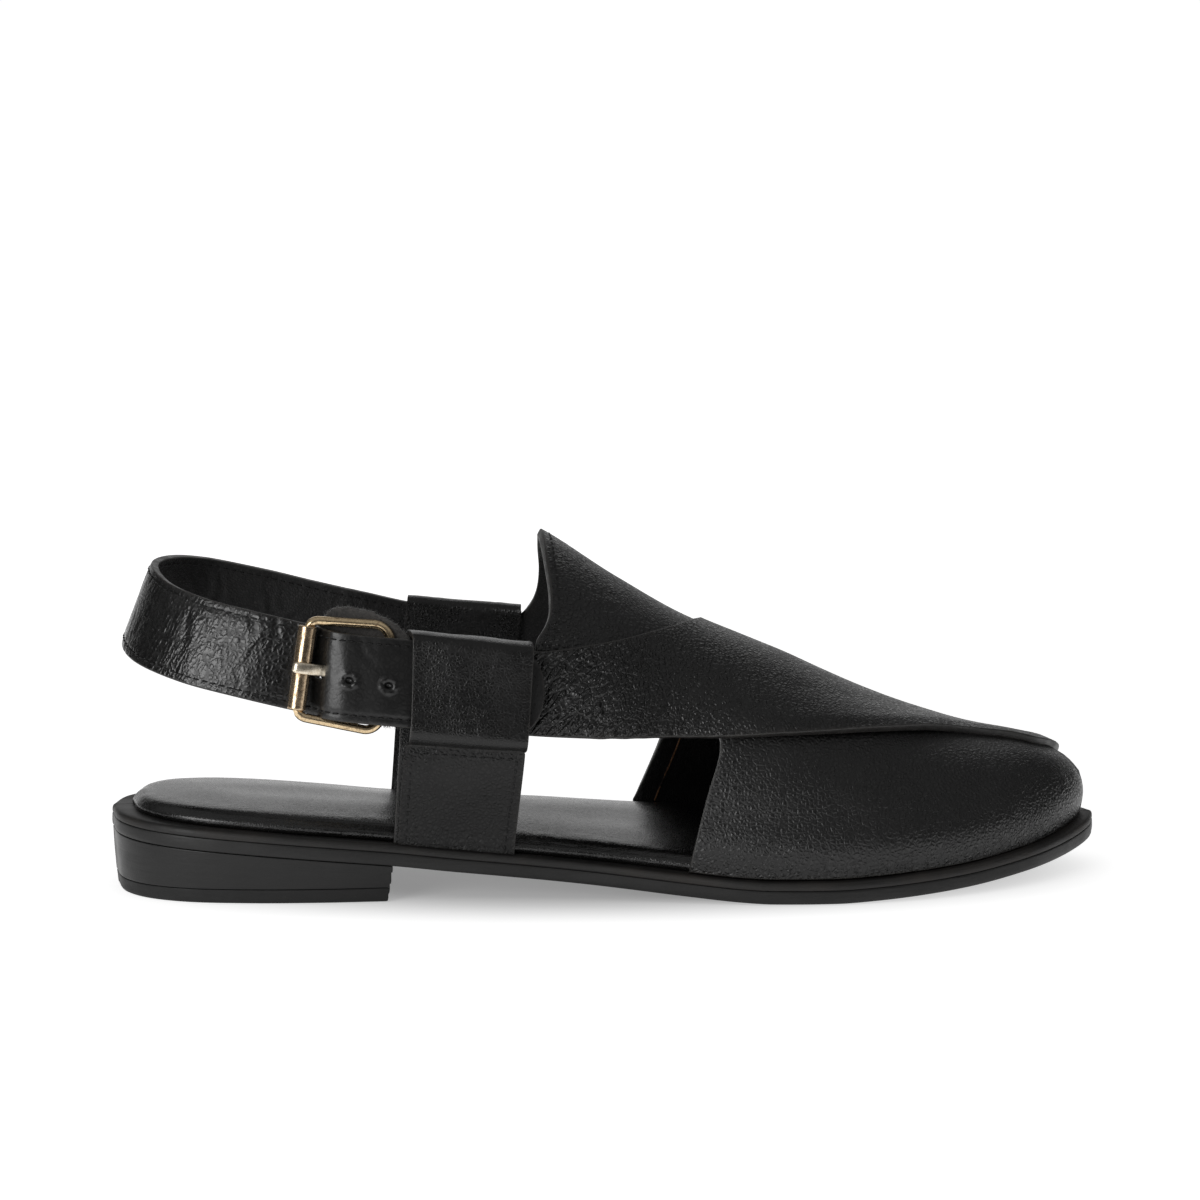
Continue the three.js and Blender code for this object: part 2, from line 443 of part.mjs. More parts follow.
function pattern(cols, rows, box) {                // flat slab with a grid, one unit thick
  const pts = [], tris = [], id = (k, i, j) => (k * (cols + 1) + i) * (rows + 1) + j;
  for (let k = 0; k < 2; k++) for (let i = 0; i <= cols; i++) for (let j = 0; j <= rows; j++) {
    const x = lerp(box.x0, box.x1, i / cols), y = lerp(box.y0, box.y1, j / rows);
    pts.push([x, y, k + DOME * (x * x * 0.2 + y * y)]);
  }
  const quad = (a, b, c, d) => tris.push([a, b, c], [a, c, d]);
  for (let i = 0; i < cols; i++) for (let j = 0; j < rows; j++) {
    quad(id(1, i, j), id(1, i + 1, j), id(1, i + 1, j + 1), id(1, i, j + 1));
    quad(id(0, i, j), id(0, i, j + 1), id(0, i + 1, j + 1), id(0, i + 1, j));
  }
  for (let i = 0; i < cols; i++) {
    quad(id(0, i, 0), id(0, i + 1, 0), id(1, i + 1, 0), id(1, i, 0));
    quad(id(0, i + 1, rows), id(0, i, rows), id(1, i, rows), id(1, i + 1, rows));
  }
  for (let j = 0; j < rows; j++) {
    quad(id(0, 0, j + 1), id(0, 0, j), id(1, 0, j), id(1, 0, j + 1));
    quad(id(0, cols, j), id(0, cols, j + 1), id(1, cols, j + 1), id(1, cols, j));
  }
  return solid(facingOut(meshFrom(pts, tris)));
}
function edgeDistance(edge, X, Y) {
  let best = 1e9;
  for (const p of edge) best = Math.min(best, Math.hypot(p[0] - X, p[1] - Y));
  return best;
}
function panel(points, cols, rows, inner, outer) { // cut the pattern flat, then bend it over the last
  const xs = points.map((p) => p[0]), ys = points.map((p) => p[1]);
  const box = { x0: Math.min(...xs) - 2, x1: Math.max(...xs) + 2, y0: Math.min(...ys) - 2, y1: Math.max(...ys) + 2 };
  const knife = new THREE.ExtrudeGeometry(new THREE.Shape(points.map((p) => new THREE.Vector2(p[0], p[1]))), { depth: 60, bevelEnabled: false });
  knife.translate(0, 0, -20);
  const cut = pattern(cols, rows, box).intersect(solid(knife));
  const g = geometryOf(cut), p = g.attributes.position;
  for (let i = 0; i < p.count; i++) {
    const x = p.getX(i), y = p.getY(i), k = clamp(p.getZ(i) - DOME * (x * x * 0.2 + y * y), 0, 1);
    const q = lastOffset(x, y, lerp(inner(x, y), outer(x, y), k));
    p.setXYZ(i, q.x, q.y, q.z);
  }
  return solid(facingOut(g));
}
const freeEdge = overFree.filter((p) => p[0] > 30);
const stand = (x, y) => PROUD * smooth(1 - edgeDistance(freeEdge, x, y) / 11) * smooth((x - 20) / 25)
  * (1 - 0.55 * smooth((x - 84) / 24));
// towards the toe the panel above is pressed deeper into the one below
const pressed = (x, y) => 1.0 * smooth((x - 96) / 14) * smooth((edgeDistance(freeEdge, x, y) - 9) / 8);
const over = panel(OVER, 34, 22, (x, y) => OVER_IN + stand(x, y) - pressed(x, y), (x, y) => OVER_OUT + stand(x, y));
const under = panel(UNDER, 34, 22, () => UNDER_IN, () => UNDER_OUT);

// ---------------------------------------------------------------- back strap
const strapRows = [];
const pushRow = (x, y, z, lean) => strapRows.push({ x, y, z, lean });
const wallLean = (side, x, z, off) => THREE.MathUtils.radToDeg(Math.atan2(
  Math.abs(wallY(side, x, z - 10, off)) - Math.abs(wallY(side, x, z + 10, off)), 20));
for (const [x, z] of [[-43.2, 63.1], [-52, 64.2], [-62, 65.6], [-76, 69.2], [-90, 72.6]]) {
  const blend = smooth((-x - 64) / 20);
  pushRow(x, lerp(wallY('medial', x, z, LEATHER / 2), 34.4, blend), z, lerp(wallLean('medial', x, z, LEATHER / 2), 10, blend));
}
for (const r of BACK_STRAP) pushRow(r.x, r.y, r.z, r.lean);
const OVER_BAR_Y = BAR.y - EYE_R - GAP - LEATHER / 2 - 0.15;
pushRow(-73, OVER_BAR_Y + 0.1, 66.0, 7); pushRow(-68, OVER_BAR_Y, 65.3, 7);
for (const [x, z] of [[-58, 63.8], [-46, 62.2], [-34, 60.9], [-22.6, 59.6]]) {
  const off = OVER_OUT + 0.65 + LEATHER / 2;
  pushRow(x, wallY('lateral', x, z, off), z, wallLean('lateral', x, z, off));
}
const strapPath = new THREE.CatmullRomCurve3(strapRows.map((r) => new THREE.Vector3(r.x, r.y, r.z)), false, 'centripetal');
strapPath.arcLengthDivisions = 600;
const leanPath = new THREE.CatmullRomCurve3(strapRows.map((r, i) => new THREE.Vector3(i, r.lean, 0)), false, 'centripetal');
const STRAP_STEPS = 76;
const strapRings = [], strapOuter = [];
for (let i = 0; i <= STRAP_STEPS; i++) {
  const u = strapPath.getUtoTmapping(i / STRAP_STEPS), c = strapPath.getPoint(u), t = strapPath.getTangent(u).normalize();
  const lean = THREE.MathUtils.degToRad(leanPath.getPoint(u).y);
  const out = new THREE.Vector3(t.y, -t.x, 0).normalize();       // away from the foot
  const w = new THREE.Vector3(0, 0, Math.cos(lean)).addScaledVector(out, -Math.sin(lean));
  w.addScaledVector(t, -w.dot(t)).normalize();
  const n = new THREE.Vector3().crossVectors(w, t).normalize();
  if (n.dot(out) < 0) n.negate();
  const end = c.x > -30 && c.y < 0 ? 1 - 0.30 * smooth((c.x + 30) / 7) : 1;    // rounded tip
  const at = (a, b) => c.clone().addScaledVector(w, a * STRAP_HALF * end).addScaledVector(n, b * LEATHER / 2).toArray();
  strapRings.push([at(-1, -1), at(-1, 1), at(0, 1), at(1, 1), at(1, -1), at(0, -1)]);
  if (c.y < 0 && c.x > -75) strapOuter.push({ x: c.x, y: c.y + n.y * LEATHER / 2 });
}
let backStrap = solid(loft(strapRings));
const strapOuterY = (x) => {
  let i = 1; while (i < strapOuter.length - 1 && strapOuter[i].x < x) i++;
  const a = strapOuter[i - 1], b = strapOuter[i];
  return lerp(a.y, b.y, clamp((x - a.x) / (b.x - a.x), 0, 1));
};

// ---------------------------------------------------------------- buckle
const O = new THREE.Vector3(BAR.x, BAR.y, BAR.z), P = new THREE.Vector3(ROLLER.x, ROLLER.y, ROLLER.z);
const e1 = P.clone().sub(O).normalize();
const e2 = new THREE.Vector3(0, Math.sin(THREE.MathUtils.degToRad(6)), Math.cos(THREE.MathUtils.degToRad(6)));
e2.addScaledVector(e1, -e2.dot(e1)).normalize();
const e3 = new THREE.Vector3().crossVectors(e1, e2).normalize();
if (e3.y > 0) e3.negate();                         // e3 points away from the foot
const LEN = P.distanceTo(O);
const local = (a, b, c) => O.clone().addScaledVector(e1, a).addScaledVector(e2, b).addScaledVector(e3, c);
const framePath = [];
const CORNER = 2.0, BAR_CORNER = 3.4;              // roundings at the roller and at the hinge bar
const corners = [[0, -FRAME_BAR_HALF, 1, 1, BAR_CORNER], [LEN, -FRAME_ROLLER_HALF, -1, 1, CORNER],
  [LEN, FRAME_ROLLER_HALF, -1, -1, CORNER], [0, FRAME_BAR_HALF, 1, -1, BAR_CORNER]];
corners.forEach(([a, b, sa, sb, rr], k) => {
  const cx = a + sa * rr, cy = b + sb * rr, start = Math.PI + k * Math.PI / 2;
  for (let i = 0; i <= 4; i++) {
    const t = start + (i / 4) * Math.PI / 2;
    framePath.push(local(cx + rr * Math.cos(t), cy + rr * Math.sin(t), 0));
  }
});
function wireLoop(path, radius, sides, planeNormal) {
  const rings = path.map((p, i) => {
    const t = path[(i + 1) % path.length].clone().sub(path[(i + path.length - 1) % path.length]).normalize();
    const side = new THREE.Vector3().crossVectors(planeNormal, t).normalize();
    return Array.from({ length: sides }, (_, j) => {
      const w = (j / sides) * Math.PI * 2;
      return p.clone().addScaledVector(side, Math.cos(w) * radius).addScaledVector(planeNormal, Math.sin(w) * radius).toArray();
    });
  });
  return loft(rings, { closed: true });
}
const buckleFrame = wireLoop(framePath, WIRE_R, 10, e3);
function ringAlong(center, axis, rIn, rOut, half, sides = 20) { // short tube, centred
  const up = new THREE.Vector3(0, 1, 0);
  const profile = [[rIn, -half], [rOut, -half], [rOut, half], [rIn, half], [rIn, -half]].map((p) => new THREE.Vector2(p[0], p[1]));
  const g = new THREE.LatheGeometry(profile, sides);
  g.applyQuaternion(new THREE.Quaternion().setFromUnitVectors(up, axis));
  g.translate(center.x, center.y, center.z);
  g.deleteAttribute('normal'); g.deleteAttribute('uv');
  return facingOut(mergeVertices(g, 1e-3));
}
const BAR_HALF = 11.2;                             // length of leather on the bar, halved
const roller = ringAlong(P, e2, WIRE_R + GAP, ROLLER_R, FRAME_ROLLER_HALF - CORNER + 0.1, 20);
// prong: an eye round the hinge bar, a blade through the strap, its tip on the roller
const PRONG_H = 3.2, tipUp = ROLLER_R + GAP + 0.9;
const blade = new THREE.Shape();
const bladeLine = [{ a: 0, c: 0 }, { a: 6, c: 0.3 }, { a: 12, c: 0.6 }, { a: 15, c: 0.9 }, { a: 17.4, c: 1.9 }, { a: 19.8, c: 3.2 }, { a: LEN - 2, c: tipUp }, { a: LEN + 2.4, c: tipUp - 0.3 }];
const bladeTop = bladeLine.map((p) => [p.a, p.c + 0.9]), bladeUnder = bladeLine.map((p) => [p.a, p.c - 0.9]);
const eyeOut = WIRE_R + GAP + 1.0;
const eyeArc = [];
for (let i = 0; i <= 14; i++) {
  const t = 0.42 + (i / 14) * (Math.PI * 2 - 0.84);
  eyeArc.push([eyeOut * Math.cos(t), eyeOut * Math.sin(t)]);
}
const prongOutline = [...bladeTop.slice(1).reverse(), ...eyeArc, ...bladeUnder.slice(1)];
blade.setFromPoints(prongOutline.map((p) => new THREE.Vector2(p[0], p[1])));
const eyeHole = new THREE.Path();
eyeHole.absarc(0, 0, WIRE_R + GAP, 0, Math.PI * 2, true);
blade.holes.push(eyeHole);
const frameMatrix = new THREE.Matrix4().makeBasis(e1, e3, new THREE.Vector3().crossVectors(e1, e3)).setPosition(O);
const prongGeometry = new THREE.ExtrudeGeometry(blade, { depth: PRONG_H, bevelEnabled: false, curveSegments: 6 });
prongGeometry.translate(0, 0, -PRONG_H / 2).applyMatrix4(frameMatrix);
const prong = solid(prongGeometry);
// slit in the strap for the prong
const slit = new THREE.BoxGeometry(9, 14, PRONG_H + 0.8);
slit.translate(17.3, 0, 0).applyMatrix4(frameMatrix);
backStrap = backStrap.subtract(solid(slit));
// leather of the panel above, turned round the hinge bar on both sides of the prong
const eyeLen = (BAR_HALF - 2.6) / 2;
const eyes = [-1, 1].map((s) => solid(ringAlong(local(0, s * (2.4 + eyeLen), 0), e2, WIRE_R + GAP, EYE_R, eyeLen, 20)));

// ---------------------------------------------------------------- side loops
const keepRear = tableCurve(KEEPER, 'rear', 'z'), keepFront = tableCurve(KEEPER, 'front', 'z');
const overLow = tableCurve(OVER_FREE.slice(0, 4), 'z'), overHigh = tableCurve([...OVER_TOP].reverse().slice(0, 4), 'z');
const underLow = tableCurve([{ x: -64, z: 52.6 }, { x: -42.2, z: 50.9 }, { x: -24, z: 49.6 }], 'z');
const underHigh = tableCurve([{ x: -64, z: 77.6 }, { x: -42.2, z: 75.4 }, { x: -24, z: 74.4 }], 'z');
function keeper(side) {
  const s = side === 'lateral' ? -1 : 1;
  const inner = side === 'lateral' ? OVER_IN : UNDER_IN;
  const lowZ = side === 'lateral' ? (x) => overLow(x) - 1.2 : (x) => underLow(x) - 1.2;
  const highZ = side === 'lateral' ? (x) => overHigh(x) + 1.0 : (x) => underHigh(x) + 0.6;
  const outerFace = side === 'lateral'
    ? (x, z) => strapOuterY(x) - 0.72 + (z - 63) * (z > 63 ? 0.095 : 0.165)
    : (x, z) => wallY('medial', x, clamp(z, 50, 80), LEATHER) + 0.8;
  const innerFace = (x, z) => {                    // outer side of the inner layer
    const y = wallY(side, x, Math.max(z, 44), inner) - s * 0.55;
    const foot = (side === 'lateral' ? footY(side, x) - 2.6 : footY(side, x) + 2.6);
    return lerp(foot, y, smooth((z - 16) / 30));
  };
  const outerRings = [], slotRings = [], WALL = 2.0;
  for (let i = 0; i <= 6; i++) {
    const f = i / 6, X = (z) => lerp(keepRear(z), keepFront(z), f), xm = X(60);
    const zl = lowZ(xm), zh = highZ(xm), ring = [];
    const put = (z, y) => ring.push([X(z), y, z]);
    const z0 = soleTop(X(16)) + GAP;
    for (const z of [z0, 24, 34, zl - 4.5]) put(z, innerFace(X(z), z) + (s * 0));
    put(zl - 4.0, outerFace(X(zl), zl) + s * 1.7);
    for (const k of [0.33, 0.66, 0.97]) { const z = lerp(zl - 4, zh, k); put(z, outerFace(X(z), z) + s * 1.7); }
    put(zh + 1.3, outerFace(X(zh), zh) + s * 0.6);
    put(zh + 1.8, lerp(outerFace(X(zh), zh), innerFace(X(zh), zh), 0.5));
    put(zh + 1.3, innerFace(X(zh), zh) - s * (WALL - 0.8));
    for (const z of [lerp(zl, zh, 0.9), lerp(zl, zh, 0.5), zl - 4.5, 34, 24, z0]) put(z, innerFace(X(z), z) - s * WALL);
    outerRings.push(ring);
  }
  for (let i = 0; i <= 8; i++) {
    const f = -0.08 + (i / 8) * 1.16, X = (z) => lerp(keepRear(z), keepFront(z), f), xm = X(60);
    const zl = lowZ(xm), zh = highZ(xm), ring = [];
    for (const k of [0, 0.33, 0.66, 1]) { const z = lerp(zl, zh, k); ring.push([X(z), outerFace(X(z), z), z]); }
    for (const k of [1, 0.66, 0.33, 0]) { const z = lerp(zl, zh, k); ring.push([X(z), innerFace(X(z), z), z]); }
    slotRings.push(ring);
  }
  return solid(loft(outerRings)).subtract(solid(loft(slotRings)));
}
const keeperLateral = keeper('lateral'), keeperMedial = keeper('medial');
const notch = new THREE.BoxGeometry(9, 8, PRONG_H + 0.8);  // room for the eye of the prong
notch.translate(1.2, 0, 0).applyMatrix4(frameMatrix);
const upper = over.add(under).add(eyes[0]).add(eyes[1]).subtract(solid(notch));

// ---------------------------------------------------------------- assembly
const part = new THREE.Group();
function put(name, geometry, color, roughness, metalness) {
  const mesh = new THREE.Mesh(geometry, new THREE.MeshStandardMaterial({ color, roughness, metalness }));
  mesh.name = name;
  part.add(mesh);
}
put('outsole', outsole, 0x16130f, 0.42, 0);
put('midsole', midsole, 0x1f1a16, 0.6, 0);
put('heel_block', heelBlock, 0x121110, 0.35, 0);
put('top_piece', topPiece, 0x0d0d0d, 0.55, 0);
put('insole', insole, 0x171616, 0.42, 0);
put('upper', withoutVoids(geometryOf(upper)), 0x141414, 0.45, 0);
put('keeper_loop_lateral', geometryOf(keeperLateral), 0x151414, 0.4, 0);
put('keeper_loop_medial', geometryOf(keeperMedial), 0x151414, 0.45, 0);
put('back_strap', geometryOf(backStrap), 0x131313, 0.42, 0);
put('buckle_frame', buckleFrame, 0x9a917c, 0.35, 1);
put('buckle_roller', roller, 0x9d9580, 0.38, 1);
put('buckle_prong', geometryOf(prong), 0xb3ab98, 0.3, 1);

// the origin lies under the middle of the whole, on the floor
const box = new THREE.Box3().setFromObject(part);
part.position.set(-(box.min.x + box.max.x) / 2, -(box.min.y + box.max.y) / 2, 0);

export default part;
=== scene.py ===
import math
import random

import bpy
import numpy as np
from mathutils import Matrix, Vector
from mathutils.geometry import delaunay_2d_cdt


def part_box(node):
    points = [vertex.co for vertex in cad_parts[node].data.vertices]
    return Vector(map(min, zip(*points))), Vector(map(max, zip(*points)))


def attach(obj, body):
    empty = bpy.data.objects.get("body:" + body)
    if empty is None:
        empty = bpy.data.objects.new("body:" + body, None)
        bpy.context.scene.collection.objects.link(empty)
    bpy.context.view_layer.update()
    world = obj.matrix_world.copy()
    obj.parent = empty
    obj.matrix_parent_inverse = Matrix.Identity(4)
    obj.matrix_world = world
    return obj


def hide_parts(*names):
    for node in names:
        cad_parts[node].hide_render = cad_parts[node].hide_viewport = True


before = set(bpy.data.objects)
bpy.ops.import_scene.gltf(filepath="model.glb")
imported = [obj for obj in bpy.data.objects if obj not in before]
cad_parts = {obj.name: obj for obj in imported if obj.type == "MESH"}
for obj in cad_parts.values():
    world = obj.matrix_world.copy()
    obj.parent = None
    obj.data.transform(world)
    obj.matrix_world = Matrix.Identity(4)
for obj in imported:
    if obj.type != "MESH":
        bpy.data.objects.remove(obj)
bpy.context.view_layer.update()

rng = np.random.default_rng(7)
random.seed(7)

# ------------------------------------------------------------------ sizes, millimetres
GAP = 0.3
LEATHER = 2.4
OUTSOLE_T, MIDSOLE_T, TOP_PIECE_T = 3.7, 2.4, 4.0
PAD_SIDE, PAD_CROWN, PAD_ARCH = 4.2, 2.3, 2.4
BREAST_X = -65.0
UNDER_IN, UNDER_OUT = 0.0, LEATHER
OVER_IN, OVER_OUT = 1.4, 1.4 + LEATHER
PROUD = 1.7
STRAP_HALF = 12.4
WIRE_R, ROLLER_R = 1.3, 2.6
FAN_X = 118.0

SIDE_LATERAL = [(-146.7, 0), (-143.7, -14), (-136.7, -24), (-124.7, -31), (-106.7, -34.5), (-86.7, -35.5),
                (-61.7, -34.6), (-36.7, -34.2), (-11.7, -36), (13.3, -41), (35.3, -45.8), (53.3, -47.5),
                (71.3, -46.3), (89.3, -42), (105.3, -35.2), (119.3, -26.3), (130.3, -16.5), (138.5, -6.5),
                (144, 3), (146.7, 12)]
SIDE_MEDIAL = [(-146.7, 0), (-143.7, 14), (-136.7, 24), (-124.7, 31), (-106.7, 34.5), (-86.7, 34.5),
               (-66.7, 33.3), (-41.7, 32.2), (-16.7, 33.4), (8.3, 37.8), (31.3, 43.6), (53.3, 48),
               (73.3, 49.2), (91.3, 47.6), (109.3, 43.6), (125.3, 37), (137, 29), (144.3, 20.5), (146.7, 12)]
SOLE_LINE = [(-146.7, 17.1), (-112.3, 14.6), (-65.7, 10.4), (-47.3, 8.2), (-34.6, 6.9), (-18.3, 5.3),
             (-1.1, 3.6), (20, 1.5), (34, 0.35), (42, 0), (60, 0), (72, 0.45), (88, 1.4), (102, 2.5),
             (114, 3.8), (125, 5.1), (136, 6.8), (146.7, 8.7)]
# x, footbed inset, upper inset
INSETS = [(-146.7, 6.4, 4.7), (-110, 4.8, 4.7), (-65, 4.4, 4.7), (-25, 4.4, 4.7), (15, 5.4, 4.7),
          (100, 5.4, 4.7), (128, 6.6, 5.6), (146.7, 8.0, 6.4)]
# x, lateral, medial, ridge y, ridge z, fullness a, fullness b
LAST = [(-95, -33.0, 34.5, 0.0, 124, 2.1, 3.2), (-63, -35.5, 37.0, 0.5, 119, 2.1, 3.2),
        (-42, -37.2, 38.5, 1.2, 111, 2.0, 3.0), (-22, -39.0, 39.5, 2.0, 100.9, 1.75, 2.7),
        (0, -40.0, 39.5, 2.6, 86.6, 1.85, 2.6), (20, -40.5, 39.5, 3.2, 75.0, 1.95, 2.5),
        (50, -43, 43, 4.8, 61.9, 2.05, 2.3), (74, -41, 44, 6.6, 50.8, 2.1, 2.3),
        (92, -36, 42, 8.2, 43.9, 2.15, 2.35), (111, -27, 38, 9.6, 38.2, 2.3, 2.5),
        (118, -22, 36, 10.0, 36.7, 2.5, 2.6)]
TOE_SLOPE, TOE_A, TOE_B = -0.2, 5.5, 4.6
BULGE, BULGE_H = 1.4, 18.0

OVER_FREE = [(-66.6, 52.3), (-44, 50.2), (-24, 48.3), (4, 47.1), (30, 46.8), (57.5, 46.8), (76, 46.1),
             (95.5, 44.3), (108, 42.2)]
OVER_TOE = [(-55, 39.2), (-24, 37.9), (0, 36.6), (20, 33.6), (38, 27.5), (50, 20.5)]
OVER_TOP = [(18, 76.4), (12, 75.7), (4, 74.6), (-6.5, 73.4), (-24, 71.9), (-44, 73.8), (-63.7, 76.0)]
OVER_REAR = [(9.6, 15), (13.2, 24), (16.8, 33), (21.0, 46), (24.5, 60), (25.5, 70)]
UNDER_REAR = [(19.1, 12), (20.3, 17.5), (23.9, 30.5), (28, 45), (26, 51), (16, 56.5), (0, 61), (-15, 64.5),
              (-23.5, 68.5), (-24.3, 74), (-21.4, 78.6), (-20, 82), (-19.6, 88), (-20.2, 96)]
UNDER_TOP = [(-20.4, 97), (-19.8, 90), (-20.4, 83), (-22.3, 77.8), (-26, 73.5), (-34, 73.7), (-41.2, 74.6)]
UNDER_FREE = [(-41.2, 51.0), (-24, 49.6), (2, 49.6), (30, 48.6), (60, 46), (86, 41), (104, 33), (113, 22)]
PEAK_X, OVER_RIDGE_X = -22.2, 24.5
UNDER_SOLE_X, OVER_SOLE_X = 19.0, 8.6


# ------------------------------------------------------------------ curves and the last
class Table:
    """Monotone cubic through rows, straight on past the ends."""

    def __init__(self, xs, ys):
        x, y = np.asarray(xs, float), np.asarray(ys, float)
        h, d = np.diff(x), np.diff(y) / np.diff(x)
        m = np.zeros(len(x))
        m[0], m[-1] = d[0], d[-1]
        for i in range(1, len(x) - 1):
            if d[i - 1] * d[i] > 0:
                w1, w2 = 2 * h[i] + h[i - 1], h[i] + 2 * h[i - 1]
                m[i] = (w1 + w2) / (w1 / d[i - 1] + w2 / d[i])
        self.x, self.y, self.h, self.m = x, y, h, m

    def __call__(self, q):
        q = np.asarray(q, float)
        i = np.clip(np.searchsorted(self.x, q, side="right") - 1, 0, len(self.h) - 1)
        t = (q - self.x[i]) / self.h[i]
        t2, t3 = t * t, t * t * t
        mid = (self.y[i] * (2 * t3 - 3 * t2 + 1) + self.m[i] * self.h[i] * (t3 - 2 * t2 + t)
               + self.y[i + 1] * (3 * t2 - 2 * t3) + self.m[i + 1] * self.h[i] * (t3 - t2))
        lo = self.y[0] + self.m[0] * (q - self.x[0])
        hi = self.y[-1] + self.m[-1] * (q - self.x[-1])
        return np.where(q < self.x[0], lo, np.where(q > self.x[-1], hi, mid))


def smooth(t):
    u = np.clip(t, 0, 1)
    return u * u * (3 - 2 * u)


def lerp(a, b, t):
    return a + (b - a) * t


def catmull(points, per=40, dims=None):
    """Dense centripetal run through the points; columns past dims ride along."""
    P = np.asarray(points, float)
    dims = dims or P.shape[1]
    P = np.vstack([2 * P[0] - P[1], P, 2 * P[-1] - P[-2]])
    out = []
    for k in range(1, len(P) - 2):
        p0, p1, p2, p3 = P[k - 1:k + 3]
        d0, d1, d2 = (max(np.sum((b - a)[:dims] ** 2), 1e-12) ** 0.25 for a, b in ((p0, p1), (p1, p2), (p2, p3)))
        if d1 < 1e-4: d1 = 1.0
        if d0 < 1e-4: d0 = d1
        if d2 < 1e-4: d2 = d1
        t1 = ((p1 - p0) / d0 - (p2 - p0) / (d0 + d1) + (p2 - p1) / d1) * d1
        t2 = ((p2 - p1) / d1 - (p3 - p1) / (d1 + d2) + (p3 - p2) / d2) * d1
        t = np.linspace(0, 1, per + 1)[:, None]
        if k > 1: t = t[1:]
        out.append(p1 + t1 * t + (-3 * p1 + 3 * p2 - 2 * t1 - t2) * t ** 2 + (2 * p1 - 2 * p2 + t1 + t2) * t ** 3)
    return np.vstack(out)


def resample(pts, n=None, step=None):
    pts = np.asarray(pts, float)
    L = np.concatenate([[0], np.cumsum(np.linalg.norm(np.diff(pts, axis=0), axis=1))])
    if n is None: n = max(2, int(round(L[-1] / step)))
    q = np.linspace(0, L[-1], n + 1)
    return np.stack([np.interp(q, L, pts[:, k]) for k in range(pts.shape[1])], 1)


sole_bottom = Table(*zip(*SOLE_LINE))
sole_top = lambda x: sole_bottom(x) + OUTSOLE_T + GAP + MIDSOLE_T
footbed_inset = Table([r[0] for r in INSETS], [r[1] for r in INSETS])
upper_inset = Table([r[0] for r in INSETS], [r[2] for r in INSETS])
SIDE = {"lateral": resample(catmull(SIDE_LATERAL, 60), 800), "medial": resample(catmull(SIDE_MEDIAL, 60), 800)}


def side_normals(side):
    P = SIDE[side]
    t = np.gradient(P, axis=0)
    t[0] = (0, -1 if side == "lateral" else 1)
    t[-1] = (0, 1 if side == "lateral" else -1)
    t /= np.linalg.norm(t, axis=1)[:, None]
    return np.stack([t[:, 1], -t[:, 0]], 1) if side == "lateral" else np.stack([-t[:, 1], t[:, 0]], 1)


SIDE_N = {s: side_normals(s) for s in SIDE}


def side_offset(side, off):
    P = SIDE[side]
    o = off(P[:, 0]) if callable(off) else np.full(len(P), float(off))
    return P + SIDE_N[side] * o[:, None]


FOOT = {s: side_offset(s, lambda x: -upper_inset(x)) for s in SIDE}
foot_y = lambda side, x: np.interp(x, FOOT[side][:, 0], FOOT[side][:, 1])
LC = {k: Table([r[0] for r in LAST], [r[i] for r in LAST]) for i, k in
      enumerate(["x", "lateral", "medial", "ry", "rz", "a", "b"]) if k != "x"}
base_y = lambda side, x: lerp(LC[side](x), foot_y(side, x), smooth((np.asarray(x) + 5) / 24))
FAN_Y, FAN_Z = float(LC["ry"](FAN_X)), float(LC["rz"](FAN_X))
_r = []
for _s in ("lateral", "medial"):
    P = FOOT[_s][FOOT[_s][:, 0] > FAN_X]
    P = np.vstack([[FAN_X, float(base_y(_s, FAN_X))], P])
    _r.append(np.stack([np.arctan2(P[:, 1] - FAN_Y, P[:, 0] - FAN_X), np.hypot(P[:, 0] - FAN_X, P[:, 1] - FAN_Y)], 1))
_r = np.vstack(_r)
_r = _r[np.argsort(_r[:, 0])]
reach = lambda t: np.interp(t, _r[:, 0], _r[:, 1])
TIP_X = FAN_X + float(reach(0.0))


def fullness(t, a, b):
    c, g = np.sin(t * np.pi / 2), np.maximum(np.cos(t * np.pi / 2), 1e-9)
    k = np.ones_like(c)
    for _ in range(12):
        p, q = np.power(k * c, a), np.power(k * g, b)
        k = k - (p + q - 1) / ((a * p + b * q) / k)
    return k * c, k * g


def last_raw(X, Y):
    X, Y = np.broadcast_arrays(np.asarray(X, float), np.asarray(Y, float))
    fan = X > FAN_X
    oy = np.where(fan, FAN_Y, LC["ry"](X))
    ox = np.where(fan, FAN_X, X)
    sg = np.where(Y < oy, -1.0, 1.0)
    R1 = np.abs(np.where(sg < 0, base_y("lateral", X), base_y("medial", X)) - oy)
    vx, vy = X - FAN_X, Y - FAN_Y
    d = np.maximum(np.hypot(vx, vy), 1e-9)
    t = np.arctan2(vy, vx)
    R2 = reach(t)
    dx = np.where(fan, vx / d, 0.0)
    dy = np.where(fan, vy / d, sg)
    R = np.where(fan, R2, R1)
    r = np.clip(np.where(fan, d / R2, np.abs(Y - oy) / R1), 1e-7, 1)
    k = smooth((np.pi / 2 - np.abs(t)) / 0.9)
    a = np.where(fan, lerp(LC["a"](FAN_X), TOE_A, k), LC["a"](X))
    b = np.where(fan, lerp(LC["b"](FAN_X), TOE_B, k), LC["b"](X))
    c, g = fullness(r, a, b)
    x, y = ox + dx * R * c, oy + dy * R * c
    H = np.where(fan, FAN_Z + TOE_SLOPE * (x - FAN_X), LC["rz"](X))
    zs = sole_top(x) + GAP
    z = zs + (H - zs) * g
    q = (z - zs) / BULGE_H
    out = np.where(q < 1, smooth((X + 2) / 24) * BULGE * np.sin(np.pi * np.clip(q, 0, 1)) ** 2, 0)
    return np.stack([x + dx * out, y + dy * out, z], -1), r


